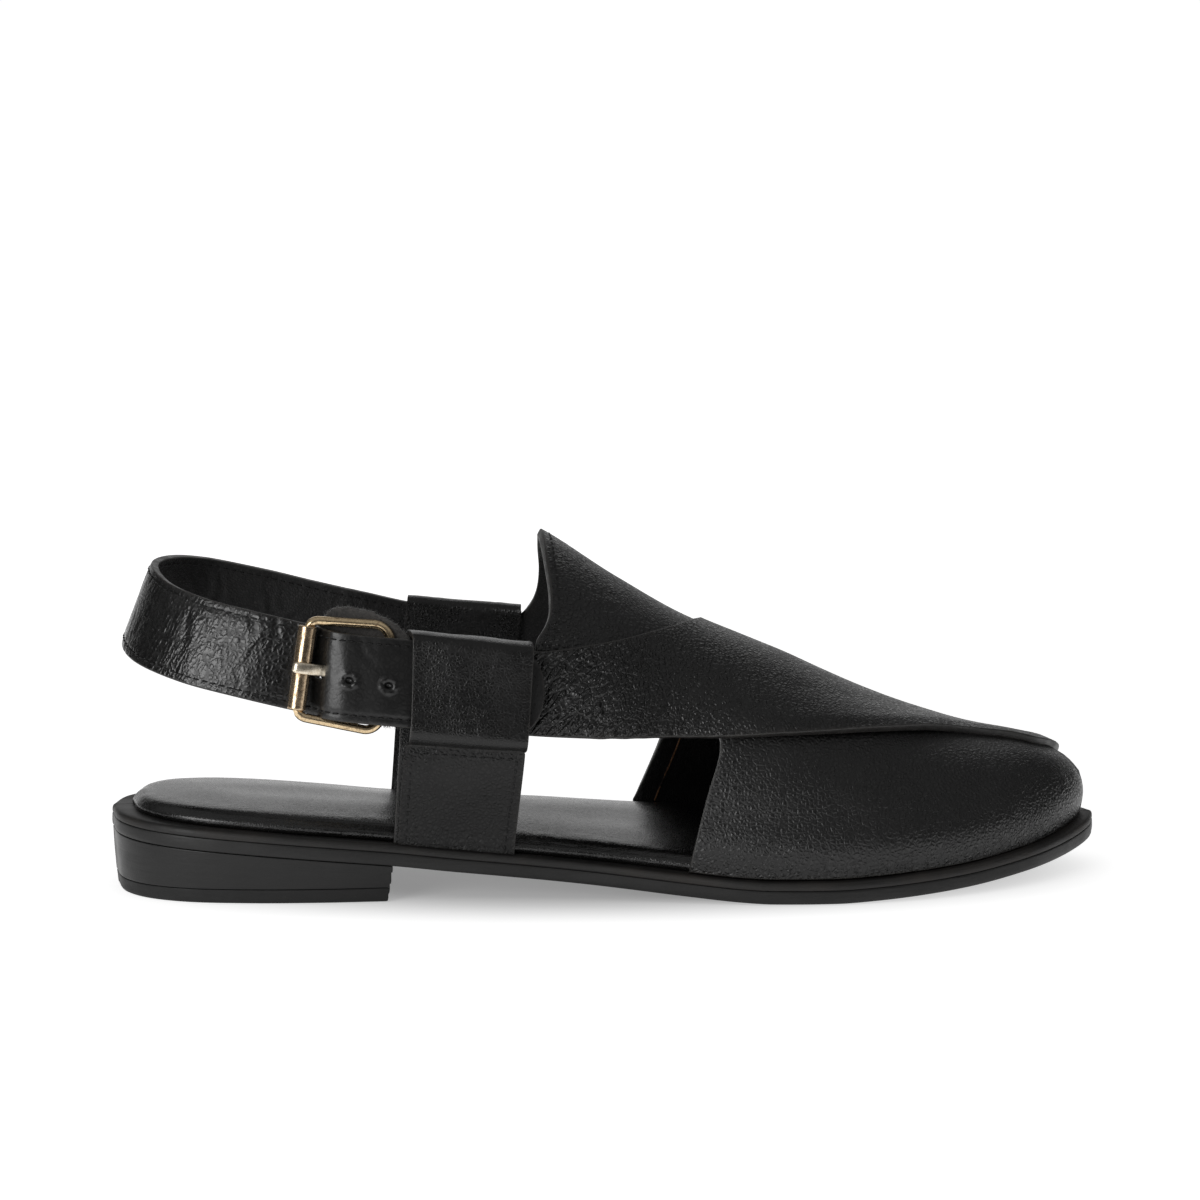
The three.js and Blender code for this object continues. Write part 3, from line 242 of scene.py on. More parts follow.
def last_point(X, Y):
    """The last, eased where the toe's fan of sections begins."""
    X, Y = np.broadcast_arrays(np.asarray(X, float), np.asarray(Y, float))
    P, r = last_raw(X, Y)
    w = smooth(1 - np.abs(X - FAN_X) / 20) * (1 - r ** 6)
    hit = w > 0.002
    if np.any(hit):
        acc, tot = np.zeros_like(P[hit]), 0.0
        for dxx in (-9, -6, -3, 0, 3, 6, 9):
            g = math.exp(-(dxx / 6.0) ** 2)
            acc += g * last_raw(X[hit] + dxx, Y[hit])[0]
            tot += g
        S = acc / tot
        P = P.copy()
        P[hit] = lerp(P[hit], S, w[hit][:, None])
    return P


def last_frame(X, Y, e=0.5):
    P = last_point(X, Y)
    du = last_point(X + e, Y) - last_point(X - e, Y)
    dv = last_point(X, Y + e) - last_point(X, Y - e)
    n = np.cross(du, dv)
    n /= np.maximum(np.linalg.norm(n, axis=-1, keepdims=True), 1e-12)
    return P, n


def last_offset(X, Y, off):
    P, n = last_frame(X, Y)
    Q = P + n * np.asarray(off, float)[..., None]
    Q[..., 2] = np.maximum(Q[..., 2], sole_top(Q[..., 0]) + GAP)
    return Q


def edge_y(side, X):
    X = np.atleast_1d(np.asarray(X, float))
    sg = -1.0 if side == "lateral" else 1.0
    lo, hi = np.zeros_like(X), np.full_like(X, 60.0)
    for _ in range(40):
        m = (lo + hi) / 2
        out = np.hypot(X - FAN_X, m) > reach(np.arctan2(sg * m, X - FAN_X))
        hi, lo = np.where(out, m, hi), np.where(out, lo, m)
    return np.where(X <= FAN_X, base_y(side, X), FAN_Y + sg * lo)


def locate(side, x, z, off):
    """Unrolled place of side view points."""
    x, z = np.atleast_1d(np.asarray(x, float)), np.atleast_1d(np.asarray(z, float))
    X = np.minimum(x, TIP_X - 0.5)
    for _ in range(9):
        ridge, foot = np.where(X <= FAN_X, LC["ry"](X), FAN_Y), edge_y(side, X)
        lo, hi = np.zeros_like(X), np.ones_like(X)
        for _ in range(18):
            m = (lo + hi) / 2
            up = last_offset(X, lerp(ridge, foot, m), np.full_like(X, off))[..., 2] > z
            lo, hi = np.where(up, m, lo), np.where(up, hi, m)
        Y = lerp(ridge, foot, (lo + hi) / 2)
        X = np.minimum(X + 0.8 * (x - last_offset(X, Y, np.full_like(X, off))[..., 0]), TIP_X - 0.5)
    return np.stack([X, Y], 1)


def locate_angle(deg, z, off):
    t = np.radians(deg)
    R = float(reach(t))
    lo, hi = 0.0, 1.0
    for _ in range(24):
        m = (lo + hi) / 2
        p = last_offset(np.array([FAN_X + R * m * math.cos(t)]), np.array([FAN_Y + R * m * math.sin(t)]), np.array([off]))
        if p[0, 2] > z: lo = m
        else: hi = m
    return [FAN_X + R * lo * math.cos(t), FAN_Y + R * lo * math.sin(t)]


def wall_y(side, x, z, off):
    x, z = np.broadcast_arrays(np.atleast_1d(np.asarray(x, float)), np.atleast_1d(np.asarray(z, float)))
    q = locate(side, x.ravel(), z.ravel(), off)
    return last_offset(q[:, 0], q[:, 1], np.full(len(q), off))[:, 1].reshape(x.shape)


# ------------------------------------------------------------------ outlines of the two panels
def on(side, rows, off, n=60):
    P = resample(catmull(rows, 30), n)
    return locate(side, P[:, 0], P[:, 1], off)


def chain(pts, step=0.7):
    return resample(catmull(pts, 16), step=step)


def foot_run(side, x0, x1, n):
    x = np.linspace(x0, x1, n + 1)
    return np.stack([x, edge_y(side, x)], 1)


def toe_run(t0, t1, n):
    t = np.linspace(t0, t1, n + 1)
    return np.stack([FAN_X + reach(t) * np.cos(t), FAN_Y + reach(t) * np.sin(t)], 1)


def joined(parts, least=0.3):
    out = []
    for run in parts:
        for p in run:
            if not out or np.hypot(*(np.asarray(p) - out[-1])) > least: out.append(np.asarray(p, float))
    while np.hypot(*(out[0] - out[-1])) < least: out.pop()
    return np.array(out)


ridge_at = lambda x: [x, float(LC["ry"](x))]
half = math.pi / 2
OVER_END, UNDER_END = math.radians(58), math.radians(78)
over_free = chain(np.vstack([on("lateral", OVER_FREE, OVER_OUT, 34),
                             [locate_angle(a, z, OVER_OUT) for a, z in OVER_TOE]]))
over_rear = on("medial", OVER_REAR, OVER_OUT, 30)
over_top = on("lateral", OVER_TOP, OVER_OUT, 30)
over_back = chain(np.vstack([[[OVER_SOLE_X, float(edge_y("medial", OVER_SOLE_X)[0])]], over_rear,
                             [ridge_at(OVER_RIDGE_X)], over_top]))
OVER = joined([over_free, toe_run(OVER_END, half - 0.02, 40), foot_run("medial", FAN_X, OVER_SOLE_X, 140), over_back])
under_rear = on("lateral", UNDER_REAR[::-1], UNDER_OUT, 50)
under_back = chain(np.vstack([[ridge_at(PEAK_X)], under_rear]))
under_top = chain(np.vstack([on("medial", UNDER_TOP[::-1], UNDER_OUT, 24), [ridge_at(PEAK_X)]]))
toe_end = [FAN_X + float(reach(UNDER_END)) * math.cos(UNDER_END), FAN_Y + float(reach(UNDER_END)) * math.sin(UNDER_END)]
under_low = chain(np.vstack([[toe_end], on("medial", UNDER_FREE[::-1], UNDER_OUT, 30)]))
UNDER = joined([foot_run("lateral", UNDER_SOLE_X, FAN_X, 130), toe_run(-half + 0.02, UNDER_END, 150), under_low,
                under_top, under_back])


# ------------------------------------------------------------------ meshes
def tree(points):
    from mathutils.kdtree import KDTree
    k = KDTree(len(points))
    for i, p in enumerate(points): k.insert((float(p[0]), float(p[1]), 0.0), i)
    k.balance()
    return k


def away(points, X, Y):
    """Distance in the plan from a run of points."""
    k = tree(points)
    return np.array([k.find((x, y, 0.0))[2] for x, y in zip(np.ravel(X), np.ravel(Y))]).reshape(np.shape(X))


def inside(pts, loop):
    a, b = loop, np.roll(loop, -1, 0)
    out = np.zeros(len(pts), bool)
    for i in range(0, len(pts), 4000):
        x, y = pts[i:i + 4000, 0][:, None], pts[i:i + 4000, 1][:, None]
        dy = np.where(b[:, 1] == a[:, 1], 1e-12, b[:, 1] - a[:, 1])
        out[i:i + 4000] = np.sum(((a[:, 1] > y) != (b[:, 1] > y)) & (x < (b[:, 0] - a[:, 0]) * (y - a[:, 1]) / dy + a[:, 0]), 1) % 2 == 1
    return out


def area(loop):
    return 0.5 * np.sum(loop[:, 0] * np.roll(loop[:, 1], -1) - np.roll(loop[:, 0], -1) * loop[:, 1])


SHIFT = np.zeros(3)
PIECES = []


def mesh_object(name, verts, faces, mats, nodes=(), fmat=None, attrs=None, smooth_faces=True, body="root"):
    me = bpy.data.meshes.new(name)
    V = (np.asarray(verts, float) + SHIFT) / 1000
    me.from_pydata([tuple(v) for v in V.tolist()], [], [tuple(int(i) for i in f) for f in faces])
    for m in (mats if isinstance(mats, (list, tuple)) else [mats]): me.materials.append(m)
    if fmat is not None: me.polygons.foreach_set("material_index", np.asarray(fmat, np.int32))
    me.polygons.foreach_set("use_smooth", np.full(len(me.polygons), bool(smooth_faces)))
    for k, v in (attrs or {}).items():
        a = me.attributes.new(k, "FLOAT", "POINT")
        a.data.foreach_set("value", np.asarray(v, np.float32))
    me.update()
    ob = bpy.data.objects.new(name, me)
    bpy.context.scene.collection.objects.link(ob)
    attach(ob, body)
    if nodes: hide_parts(*nodes)
    PIECES.append(ob)
    return ob


def volume(V, F):
    V = np.asarray(V, float)
    return sum(float(np.dot(V[f[0]], np.cross(V[f[i]], V[f[i + 1]]))) for f in F for i in range(1, len(f) - 1)) / 6


def outward(V, F):
    return F if volume(V, F) > 0 else [tuple(reversed(f)) for f in F]


def unit(a):
    return a / np.maximum(np.linalg.norm(a, axis=-1, keepdims=True), 1e-12)


def sheet(name, loops, mapper, inner, outer, mats, nodes=(), step=(1.2, 0.9), clear=1.0, bulge=0.45,
          relief=None, relief_in=None, marks=None, rings=11, split=-0.12, fine=None):
    """A piece of leather cut to loops in its flat plan and bent by mapper(X, Y, offset); rounded cut edges all round."""
    loops = [np.asarray(l, float) for l in loops]
    loops = [l if (area(l) > 0) == (k == 0) else l[::-1] for k, l in enumerate(loops)]
    edge = np.vstack(loops)
    x0, y0 = edge.min(0)
    x1, y1 = edge.max(0)
    gx, gy = np.meshgrid(np.arange(x0, x1, step[0]), np.arange(y0, y1, step[1]), indexing="ij")
    gx = gx + (np.arange(gx.shape[1])[None, :] % 2) * step[0] / 2
    g = np.stack([gx.ravel(), gy.ravel()], 1)
    if fine is not None:
        fx0, fx1, fy0, fy1, s = fine
        g = g[~((g[:, 0] > fx0) & (g[:, 0] < fx1) & (g[:, 1] > fy0) & (g[:, 1] < fy1))]
        hx, hy = np.meshgrid(np.arange(fx0, fx1, s), np.arange(fy0, fy1, s), indexing="ij")
        g = np.vstack([g, np.stack([hx.ravel(), hy.ravel()], 1)])
    g = g[inside(g, loops[0])]
    for h in loops[1:]: g = g[~inside(g, h)]
    dense = np.vstack([resample(np.vstack([l, l[:1]]), step=0.4) for l in loops])
    g = g[away(dense, g[:, 0], g[:, 1]) > clear]
    pts = np.vstack([edge, g])
    starts = np.cumsum([0] + [len(l) for l in loops])
    faces_in = [list(range(len(loops[0])))]
    edges_in = [(starts[k] + i, starts[k] + (i + 1) % len(l)) for k, l in enumerate(loops) if k for i in range(len(l))]
    vo, _, fo, orig, _, _ = delaunay_2d_cdt([Vector(p) for p in pts.tolist()], edges_in, faces_in, 1, 1e-6)
    P2 = np.array([tuple(v) for v in vo])
    tri = np.array([list(f) for f in fo if len(f) == 3])
    cen = P2[tri].mean(1)
    for h in loops[1:]:
        keep = ~inside(cen, h)
        tri, cen = tri[keep], cen[keep]
    index = {}
    for i, o in enumerate(orig):
        for k in o: index.setdefault(k, i)
    X, Y = P2[:, 0], P2[:, 1]
    oi, oo = inner(X, Y), outer(X, Y)
    Po, Pi = mapper(X, Y, oo), mapper(X, Y, oi)
    n = unit(mapper(X, Y, oo + 0.3) - mapper(X, Y, oi - 0.3))
    if relief is not None: Po = Po + n * relief(X, Y, Po)[:, None]
    if relief_in is not None: Pi = Pi + n * relief_in(X, Y, Pi)[:, None]
    V, F, M = [Po, Pi], [], []
    N = len(Po)
    a = np.cross(Po[tri[:, 1]] - Po[tri[:, 0]], Po[tri[:, 2]] - Po[tri[:, 0]])
    if np.sum(np.einsum("ij,ij->i", a, n[tri[:, 0]])) < 0: tri = tri[:, ::-1]
    F += [tuple(t) for t in tri.tolist()]
    M += [0] * len(tri)
    F += [tuple(t) for t in (tri[:, ::-1] + N).tolist()]
    M += [1] * len(tri)
    count = 2 * N
    where = [np.stack([X, Y], 1), np.stack([X, Y], 1)]
    side_of = [np.ones(N), -np.ones(N)]
    for k, l in enumerate(loops):
        ids = np.array([index[i] for i in range(starts[k], starts[k + 1])])
        A, B = Po[ids], Pi[ids]
        mid = (A + B) / 2
        t = unit(np.roll(mid, -1, 0) - np.roll(mid, 1, 0))
        nn = unit(n[ids])
        o = unit(np.cross(t, nn))
        T = np.linalg.norm(A - B, axis=1)
        A2, B2 = A - o * bulge, B - o * bulge
        Po[ids], Pi[ids] = A2, B2
        ring_ids = [ids]
        for j in range(1, rings):
            ph = math.pi * j / rings
            sx, sy = math.sin(ph) ** 0.55, math.copysign(abs(math.cos(ph)) ** 0.62, math.cos(ph))
            notch = 0.16 * math.exp(-((sy - split) / 0.10) ** 2)
            R = mid + nn * (T / 2 * sy)[:, None] + o * (bulge * (sx - 1) - notch * min(1, bulge / 0.3))
            V.append(R)
            where.append(np.stack([X[ids], Y[ids]], 1))
            side_of.append(np.full(len(ids), sy))
            ring_ids.append(np.arange(count, count + len(ids)))
            count += len(ids)
        ring_ids.append(ids + N)
        L = len(ids)
        for r in range(rings):
            p, q = ring_ids[r], ring_ids[r + 1]
            for i in range(L):
                i2 = (i + 1) % L
                F.append((p[i], q[i], q[i2], p[i2]))
                M.append(2)
    V[0], V[1] = Po, Pi
    V = np.vstack(V)
    W = np.vstack(where)
    F = [tuple(int(i) for i in f) for f in F]
    if volume(V, F) < 0: F = [tuple(reversed(f)) for f in F]
    attrs = {"edge": away(dense, W[:, 0], W[:, 1]), "face": np.concatenate(side_of)}
    for key, fn in (marks or {}).items(): attrs[key] = fn(W[:, 0], W[:, 1], V)
    return mesh_object(name, V, F, mats, nodes, M, attrs)


def tube(path, radii, closed=False, sides=16, up=None, squash=1.0):
    """Round or flat section swept on a path; returns vertices and faces."""
    P = np.asarray(path, float)
    n = len(P)
    t = unit((np.roll(P, -1, 0) - np.roll(P, 1, 0)) if closed else np.gradient(P, axis=0))
    up = np.asarray(up, float)
    a = unit(np.cross(np.broadcast_to(up, t.shape), t))
    b = unit(np.cross(t, a))
    r = np.broadcast_to(np.asarray(radii, float), (n,))
    w = np.linspace(0, 2 * np.pi, sides, endpoint=False)
    V = P[:, None, :] + a[:, None, :] * (np.cos(w)[None, :, None] * r[:, None, None]) \
        + b[:, None, :] * (np.sin(w)[None, :, None] * r[:, None, None] * squash)
    F = []
    for i in range(n if closed else n - 1):
        for j in range(sides):
            p, q = i * sides, ((i + 1) % n) * sides
            F.append((p + j, p + (j + 1) % sides, q + (j + 1) % sides, q + j))
    V = V.reshape(-1, 3)
    if not closed:
        F.append(tuple(range(sides))[::-1])
        F.append(tuple(range((n - 1) * sides, n * sides)))
    return V, outward(V, F)


def merge(parts):
    V, F, k = [], [], 0
    for v, f in parts:
        V.append(v)
        F += [tuple(i + k for i in q) for q in f]
        k += len(v)
    return np.vstack(V), F


def stitches(path, normals, pitch=2.6, length=1.8, r=0.33, sink=0.16, tilt=0.12):
    """Thread stitches along a run; every one is a slim bead that dips at its ends."""
    P, Nn = np.asarray(path, float), unit(np.asarray(normals, float))
    L = np.concatenate([[0], np.cumsum(np.linalg.norm(np.diff(P, axis=0), axis=1))])
    parts = []
    k = int(L[-1] / pitch)
    for i in range(k):
        s0 = (i + 0.5) * L[-1] / k
        q = s0 + np.linspace(-0.5, 0.5, 7) * length * (1 + 0.06 * math.sin(i * 2.7))
        C = np.stack([np.interp(q, L, P[:, d]) for d in range(3)], 1)
        nn = unit(np.stack([np.interp(q, L, Nn[:, d]) for d in range(3)], 1))
        u = np.linspace(-1, 1, 7)
        side = unit(np.cross(nn, np.gradient(C, axis=0)))
        C = C + nn * ((1 - np.abs(u) ** 3) * r * 0.75 - sink)[:, None] + side * (u * tilt * r * 2 + 0.05 * math.sin(i * 5.1))[:, None]
        parts.append(tube(C, r * (0.55 + 0.45 * (1 - u ** 4)), sides=8, up=nn[3]))
    return merge(parts)


class Grid:
    """A leather strap laid on a grid of middle points and normals; (u, v) in millimetres."""

    def __init__(self, C, U, V, flip=1.0):
        self.C, self.U, self.V = C, np.asarray(U, float), np.asarray(V, float)
        du, dv = np.gradient(C, self.U, axis=0), np.gradient(C, self.V, axis=1)
        self.N = unit(np.cross(du, dv)) * flip

    def _at(self, A, u, v):
        i = np.clip(np.searchsorted(self.U, u, side="right") - 1, 0, len(self.U) - 2)
        j = np.clip(np.searchsorted(self.V, v, side="right") - 1, 0, len(self.V) - 2)
        a = ((u - self.U[i]) / (self.U[i + 1] - self.U[i]))[..., None]
        b = ((v - self.V[j]) / (self.V[j + 1] - self.V[j]))[..., None]
        return (1 - a) * (1 - b) * A[i, j] + a * (1 - b) * A[i + 1, j] + (1 - a) * b * A[i, j + 1] + a * b * A[i + 1, j + 1]

    def __call__(self, u, v, off):
        u, v = np.asarray(u, float), np.asarray(v, float)
        return self._at(self.C, u, v) + unit(self._at(self.N, u, v)) * np.asarray(off, float)[..., None]

    def normal(self, u, v):
        return unit(self._at(self.N, np.asarray(u, float), np.asarray(v, float)))


# ------------------------------------------------------------------ places shared by straps and buckle
BAR, ROLLER = np.array([-67.1, -36.6, 64.6]), np.array([-90.6, -38.2, 68.3])
FRAME_ROLLER_HALF, FRAME_BAR_HALF, EYE_R = 13.8, 14.9, 2.75
E1 = unit(ROLLER - BAR)
E2 = np.array([0, math.sin(math.radians(6)), math.cos(math.radians(6))])
E2 = unit(E2 - E1 * np.dot(E2, E1))
E3 = np.cross(E1, E2)
E3 = -E3 if E3[1] > 0 else E3
LEN = float(np.linalg.norm(ROLLER - BAR))
local = lambda a, b, c: BAR + E1 * a + E2 * b + E3 * c

BACK_STRAP = [(-104, 33.2, 76.3, 12), (-121, 28.4, 80.5, 16), (-132.5, 16.5, 82.8, 20), (-137.6, 0.5, 82.4, 21),
              (-133.4, -15.5, 78.8, 21), (-121.5, -26.4, 74.9, 17), (-106, -32.2, 71.4, 12), (-92, -33.6, 68.1, 8),
              (-88.4, -33.7, 67.3, 7), (-85.5, -36.3, 66.8, 7), (-82.7, -39.2, 66.3, 7), (-79.2, -40.6, 65.8, 7)]


def wall_lean(side, x, z, off):
    a, b = wall_y(side, x, z - 10, off), wall_y(side, x, z + 10, off)
    return float(np.degrees(np.arctan2(abs(a[0]) - abs(b[0]), 20)))


strap_rows = []
for x, z in [(-43.2, 63.1), (-52, 64.2), (-62, 65.6), (-76, 69.2), (-90, 72.6)]:
    k = float(smooth((-x - 64) / 20))
    strap_rows.append([x, lerp(float(wall_y("medial", x, z, LEATHER / 2)[0]), 34.4, k), z,
                       lerp(wall_lean("medial", x, z, LEATHER / 2), 10, k)])
strap_rows += [list(r) for r in BACK_STRAP]
over_bar = BAR[1] - EYE_R - GAP - LEATHER / 2 - 0.15
strap_rows += [[-73, over_bar + 0.1, 65.1, 7], [-68, over_bar, 64.6, 7]]
for x, z in [(-58, 63.4), (-46, 62.1), (-34, 60.9), (-22.6, 59.6)]:
    off = OVER_OUT + 0.65 + LEATHER / 2
    strap_rows.append([x, float(wall_y("lateral", x, z, off)[0]), z, wall_lean("lateral", x, z, off)])
spine = resample(catmull(strap_rows, 40, dims=3), step=0.6)
arc = np.concatenate([[0], np.cumsum(np.linalg.norm(np.diff(spine[:, :3], axis=0), axis=1))])
STRAP_L = float(arc[-1])
tan = unit(np.gradient(spine[:, :3], axis=0))
outv = unit(np.stack([tan[:, 1], -tan[:, 0], 0 * tan[:, 0]], 1))
lean = np.radians(spine[:, 3])[:, None]
wv = np.array([0, 0, 1.0]) * np.cos(lean) - outv * np.sin(lean)
wv = unit(wv - tan * np.sum(wv * tan, 1, keepdims=True))
vv = np.linspace(-13, 13, 27)
C = spine[:, None, :3] + wv[:, None, :] * vv[None, :, None]
strap_map = Grid(C, arc, vv)
if np.sum(strap_map.N[:, 13] * outv) < 0: strap_map.N = -strap_map.N
_lat = (spine[:, 1] < 0) & (spine[:, 0] > -75)
_n = strap_map.N[:, 13]
strap_outer_y = lambda x: np.interp(x, spine[_lat, 0], spine[_lat, 1] + _n[_lat, 1] * LEATHER / 2)
strap_s = lambda x: float(np.interp(x, spine[_lat, 0], arc[_lat]))          # lateral run, by x

# tables of the wall behind the side loops
WX, WZ = np.linspace(-72, -18, 12), np.linspace(40, 92, 14)
_gx, _gz = np.meshgrid(WX, WZ, indexing="ij")
WALLS = {}


def wall(side, x, z, off):
    key = (side, round(off, 2))
    if key not in WALLS: WALLS[key] = wall_y(side, _gx.ravel(), _gz.ravel(), off).reshape(_gx.shape)
    x, z = np.clip(x, WX[0], WX[-1]), np.clip(z, WZ[0], WZ[-1])
    i = np.clip(np.searchsorted(WX, x) - 1, 0, len(WX) - 2)
    j = np.clip(np.searchsorted(WZ, z) - 1, 0, len(WZ) - 2)
    a, b = (x - WX[i]) / (WX[i + 1] - WX[i]), (z - WZ[j]) / (WZ[j + 1] - WZ[j])
    W = WALLS[key]
    return (1 - a) * (1 - b) * W[i, j] + a * (1 - b) * W[i + 1, j] + (1 - a) * b * W[i, j + 1] + a * b * W[i + 1, j + 1]


over_low = Table([-66.6, -44, -24, 4], [52.3, 50.2, 48.3, 47.1])
over_high = Table([-63.7, -44, -24, -6.5], [76.0, 73.8, 71.9, 73.4])
under_low_z = Table([-64, -42.2, -24], [52.6, 50.9, 49.6])
under_high_z = Table([-64, -42.2, -24], [77.6, 75.4, 74.4])


def keeper_faces(side):
    s = -1 if side == "lateral" else 1
    inner = OVER_IN if side == "lateral" else UNDER_IN
    if side == "lateral":
        low, high = (lambda x: over_low(x) - 1.2), (lambda x: over_high(x) + 1.0)
        outer = lambda x, z: strap_outer_y(x) - 0.72 + (z - 63) * np.where(z > 63, 0.095, 0.165)
    else:
        low, high = (lambda x: under_low_z(x) - 1.2), (lambda x: under_high_z(x) + 0.6)
        outer = lambda x, z: wall("medial", x, np.clip(z, 50, 80), LEATHER) + 0.8

    def inner_face(x, z):
        y = wall(side, x, np.maximum(z, 44), inner) - s * 0.55
        return lerp(foot_y(side, x) + s * 2.6, y, smooth((z - 16) / 30))
    return s, low, high, outer, inner_face


def keeper_grids(side):
    s, low, high, outer, inner_face = keeper_faces(side)
    flap_rear, flap_front = Table([40, 60, 82], [-61.2, -60.0, -59.4]), Table([40, 60, 82], [-28.0, -26.4, -24.9])
    base_rear, base_front = Table([14, 43, 82], [-65.4, -63.6, -61.0]), Table([14, 43, 82], [-30.9, -28.4, -24.9])
    if side == "medial":
        flap_rear, base_rear = Table([40, 60, 82], [-60.4, -59.2, -58.4]), Table([14, 43, 82], [-65.0, -62.6, -58.9])
    lift = lambda z: 4.4 * float(smooth((z - 13) / 31))
    meet = lambda z: 1.9 * float(smooth((z - 13) / 26) * (1 - smooth((z - 44) / 6)))
    fs = np.linspace(0, 1, 19)
    rows, front = [], []
    for f in fs:
        pts = []
        xm = lerp(-61.0, -26.0, f)
        zl, zh = float(low(xm)), float(high(xm))
        seam = lerp(45.4, 43.3, f)
        x_out = lambda z: float(lerp(flap_rear(z), flap_front(z), f))
        x_in = lambda z: float(lerp(base_rear(z), base_front(z), f))
        for z in np.concatenate([np.linspace(seam, zl, 10), np.linspace(zl, zh - 0.5, 16)[1:]]):
            x = x_out(z)
            yo = float(outer(x, max(z, zl))) + s * 0.85
            ys = float(inner_face(x, z)) + s * (0.50 + lift(z))
            pts.append([x, lerp(ys, yo, float(smooth((z - seam - 0.5) / (zl - seam - 0.2)))), z])
        yo, yi = pts[-1][1], float(inner_face(x_in(zh), zh)) - s * 1.05
        for w in np.linspace(0, math.pi, 13)[1:-1]:
            k = (1 - math.cos(w)) / 2
            pts.append([lerp(x_out(zh), x_in(zh), k), lerp(yo, yi, k), zh - 0.5 + 1.6 * math.sin(w) ** 0.7])
        for z in np.concatenate([np.linspace(zh - 0.5, zl, 14), np.linspace(zl, float(sole_top(x_in(16))) - 0.4, 16)[1:]]):
            x = x_in(z)
            pts.append([x, float(inner_face(x, z)) - s * (1.05 - meet(z)), z])
        rows.append(resample(pts, 150))
        q = []
        for z in np.linspace(seam + 1.1, float(sole_top(x_in(16))) - 0.4, 40):
            x = float(lerp(base_rear(z) + 1.5, base_front(z), f))
            q.append([x, float(inner_face(x, z)) + s * (0.02 + lift(z) + 0.5 * float(smooth((z - 28) / 15))), z])
        front.append(resample(q, 40))
    Cm, Cf = np.array(rows), np.array(front)
    Lv = float(np.mean(np.sum(np.linalg.norm(np.diff(Cm, axis=1), axis=2), axis=1)))
    Lf = float(np.mean(np.sum(np.linalg.norm(np.diff(Cf, axis=1), axis=2), axis=1)))
    g = Grid(Cm, fs * 34.6, np.linspace(0, Lv, Cm.shape[1]))
    h = Grid(Cf, fs * 33.0, np.linspace(0, Lf, Cf.shape[1]))
    mid = g.N[9, 8]
    if mid[1] * s < 0: g.N = -g.N
    if h.N[9, 20][1] * s < 0: h.N = -h.N
    return g, Lv, h, Lf


def rounded(x0, y0, x1, y1, r=1.2, step=0.7, corners=(1, 1, 1, 1)):
    """Counter-clockwise rectangle with rounded corners, starting low left."""
    out = []
    for (cx, cy, a0), on_ in zip([(x0, y0, 180), (x1, y0, 270), (x1, y1, 0), (x0, y1, 90)], corners):
        q = r if on_ else 0.15
        mx, my = cx + (q if cx == x0 else -q), cy + (q if cy == y0 else -q)
        for a in np.radians(np.linspace(a0, a0 + 90, 7)): out.append([mx + q * math.cos(a), my + q * math.sin(a)])
    out.append(out[0])
    P = resample(out, step=step)
    return P[:-1]


def ripple(u, v, seed, n, span, depth, width, angle=90, spread=25, length=8):
    """Seeded soft creases: short grooves with a raised lip."""
    r = np.random.default_rng(seed)
    out = np.zeros_like(u)
    for _ in range(n):
        cu, cv = r.uniform(span[0], span[1]), r.uniform(span[2], span[3])
        a = math.radians(angle + r.normal(0, spread / 2))
        L, w, d = length * r.uniform(0.5, 1.4), width * r.uniform(0.7, 1.4), depth * r.uniform(0.4, 1.1)
        t = (u - cu) * math.cos(a) + (v - cv) * math.sin(a)
        q = -(u - cu) * math.sin(a) + (v - cv) * math.cos(a) + 0.35 * w * np.sin(t / L * 4 + cu)
        f = np.exp(-(t / L) ** 4)
        out += d * f * (-np.exp(-(q / (0.5 * w)) ** 2) + 0.6 * np.exp(-((np.abs(q) - w) / (0.6 * w)) ** 2))
    return out


# ------------------------------------------------------------------ materials
def nodes_of(name):
    m = bpy.data.materials.new(name)
    m.use_nodes = True
    t = m.node_tree
    t.nodes.clear()
    out = t.nodes.new("ShaderNodeOutputMaterial")
    b = t.nodes.new("ShaderNodeBsdfPrincipled")
    t.links.new(b.outputs["BSDF"], out.inputs["Surface"])
    return m, t, b


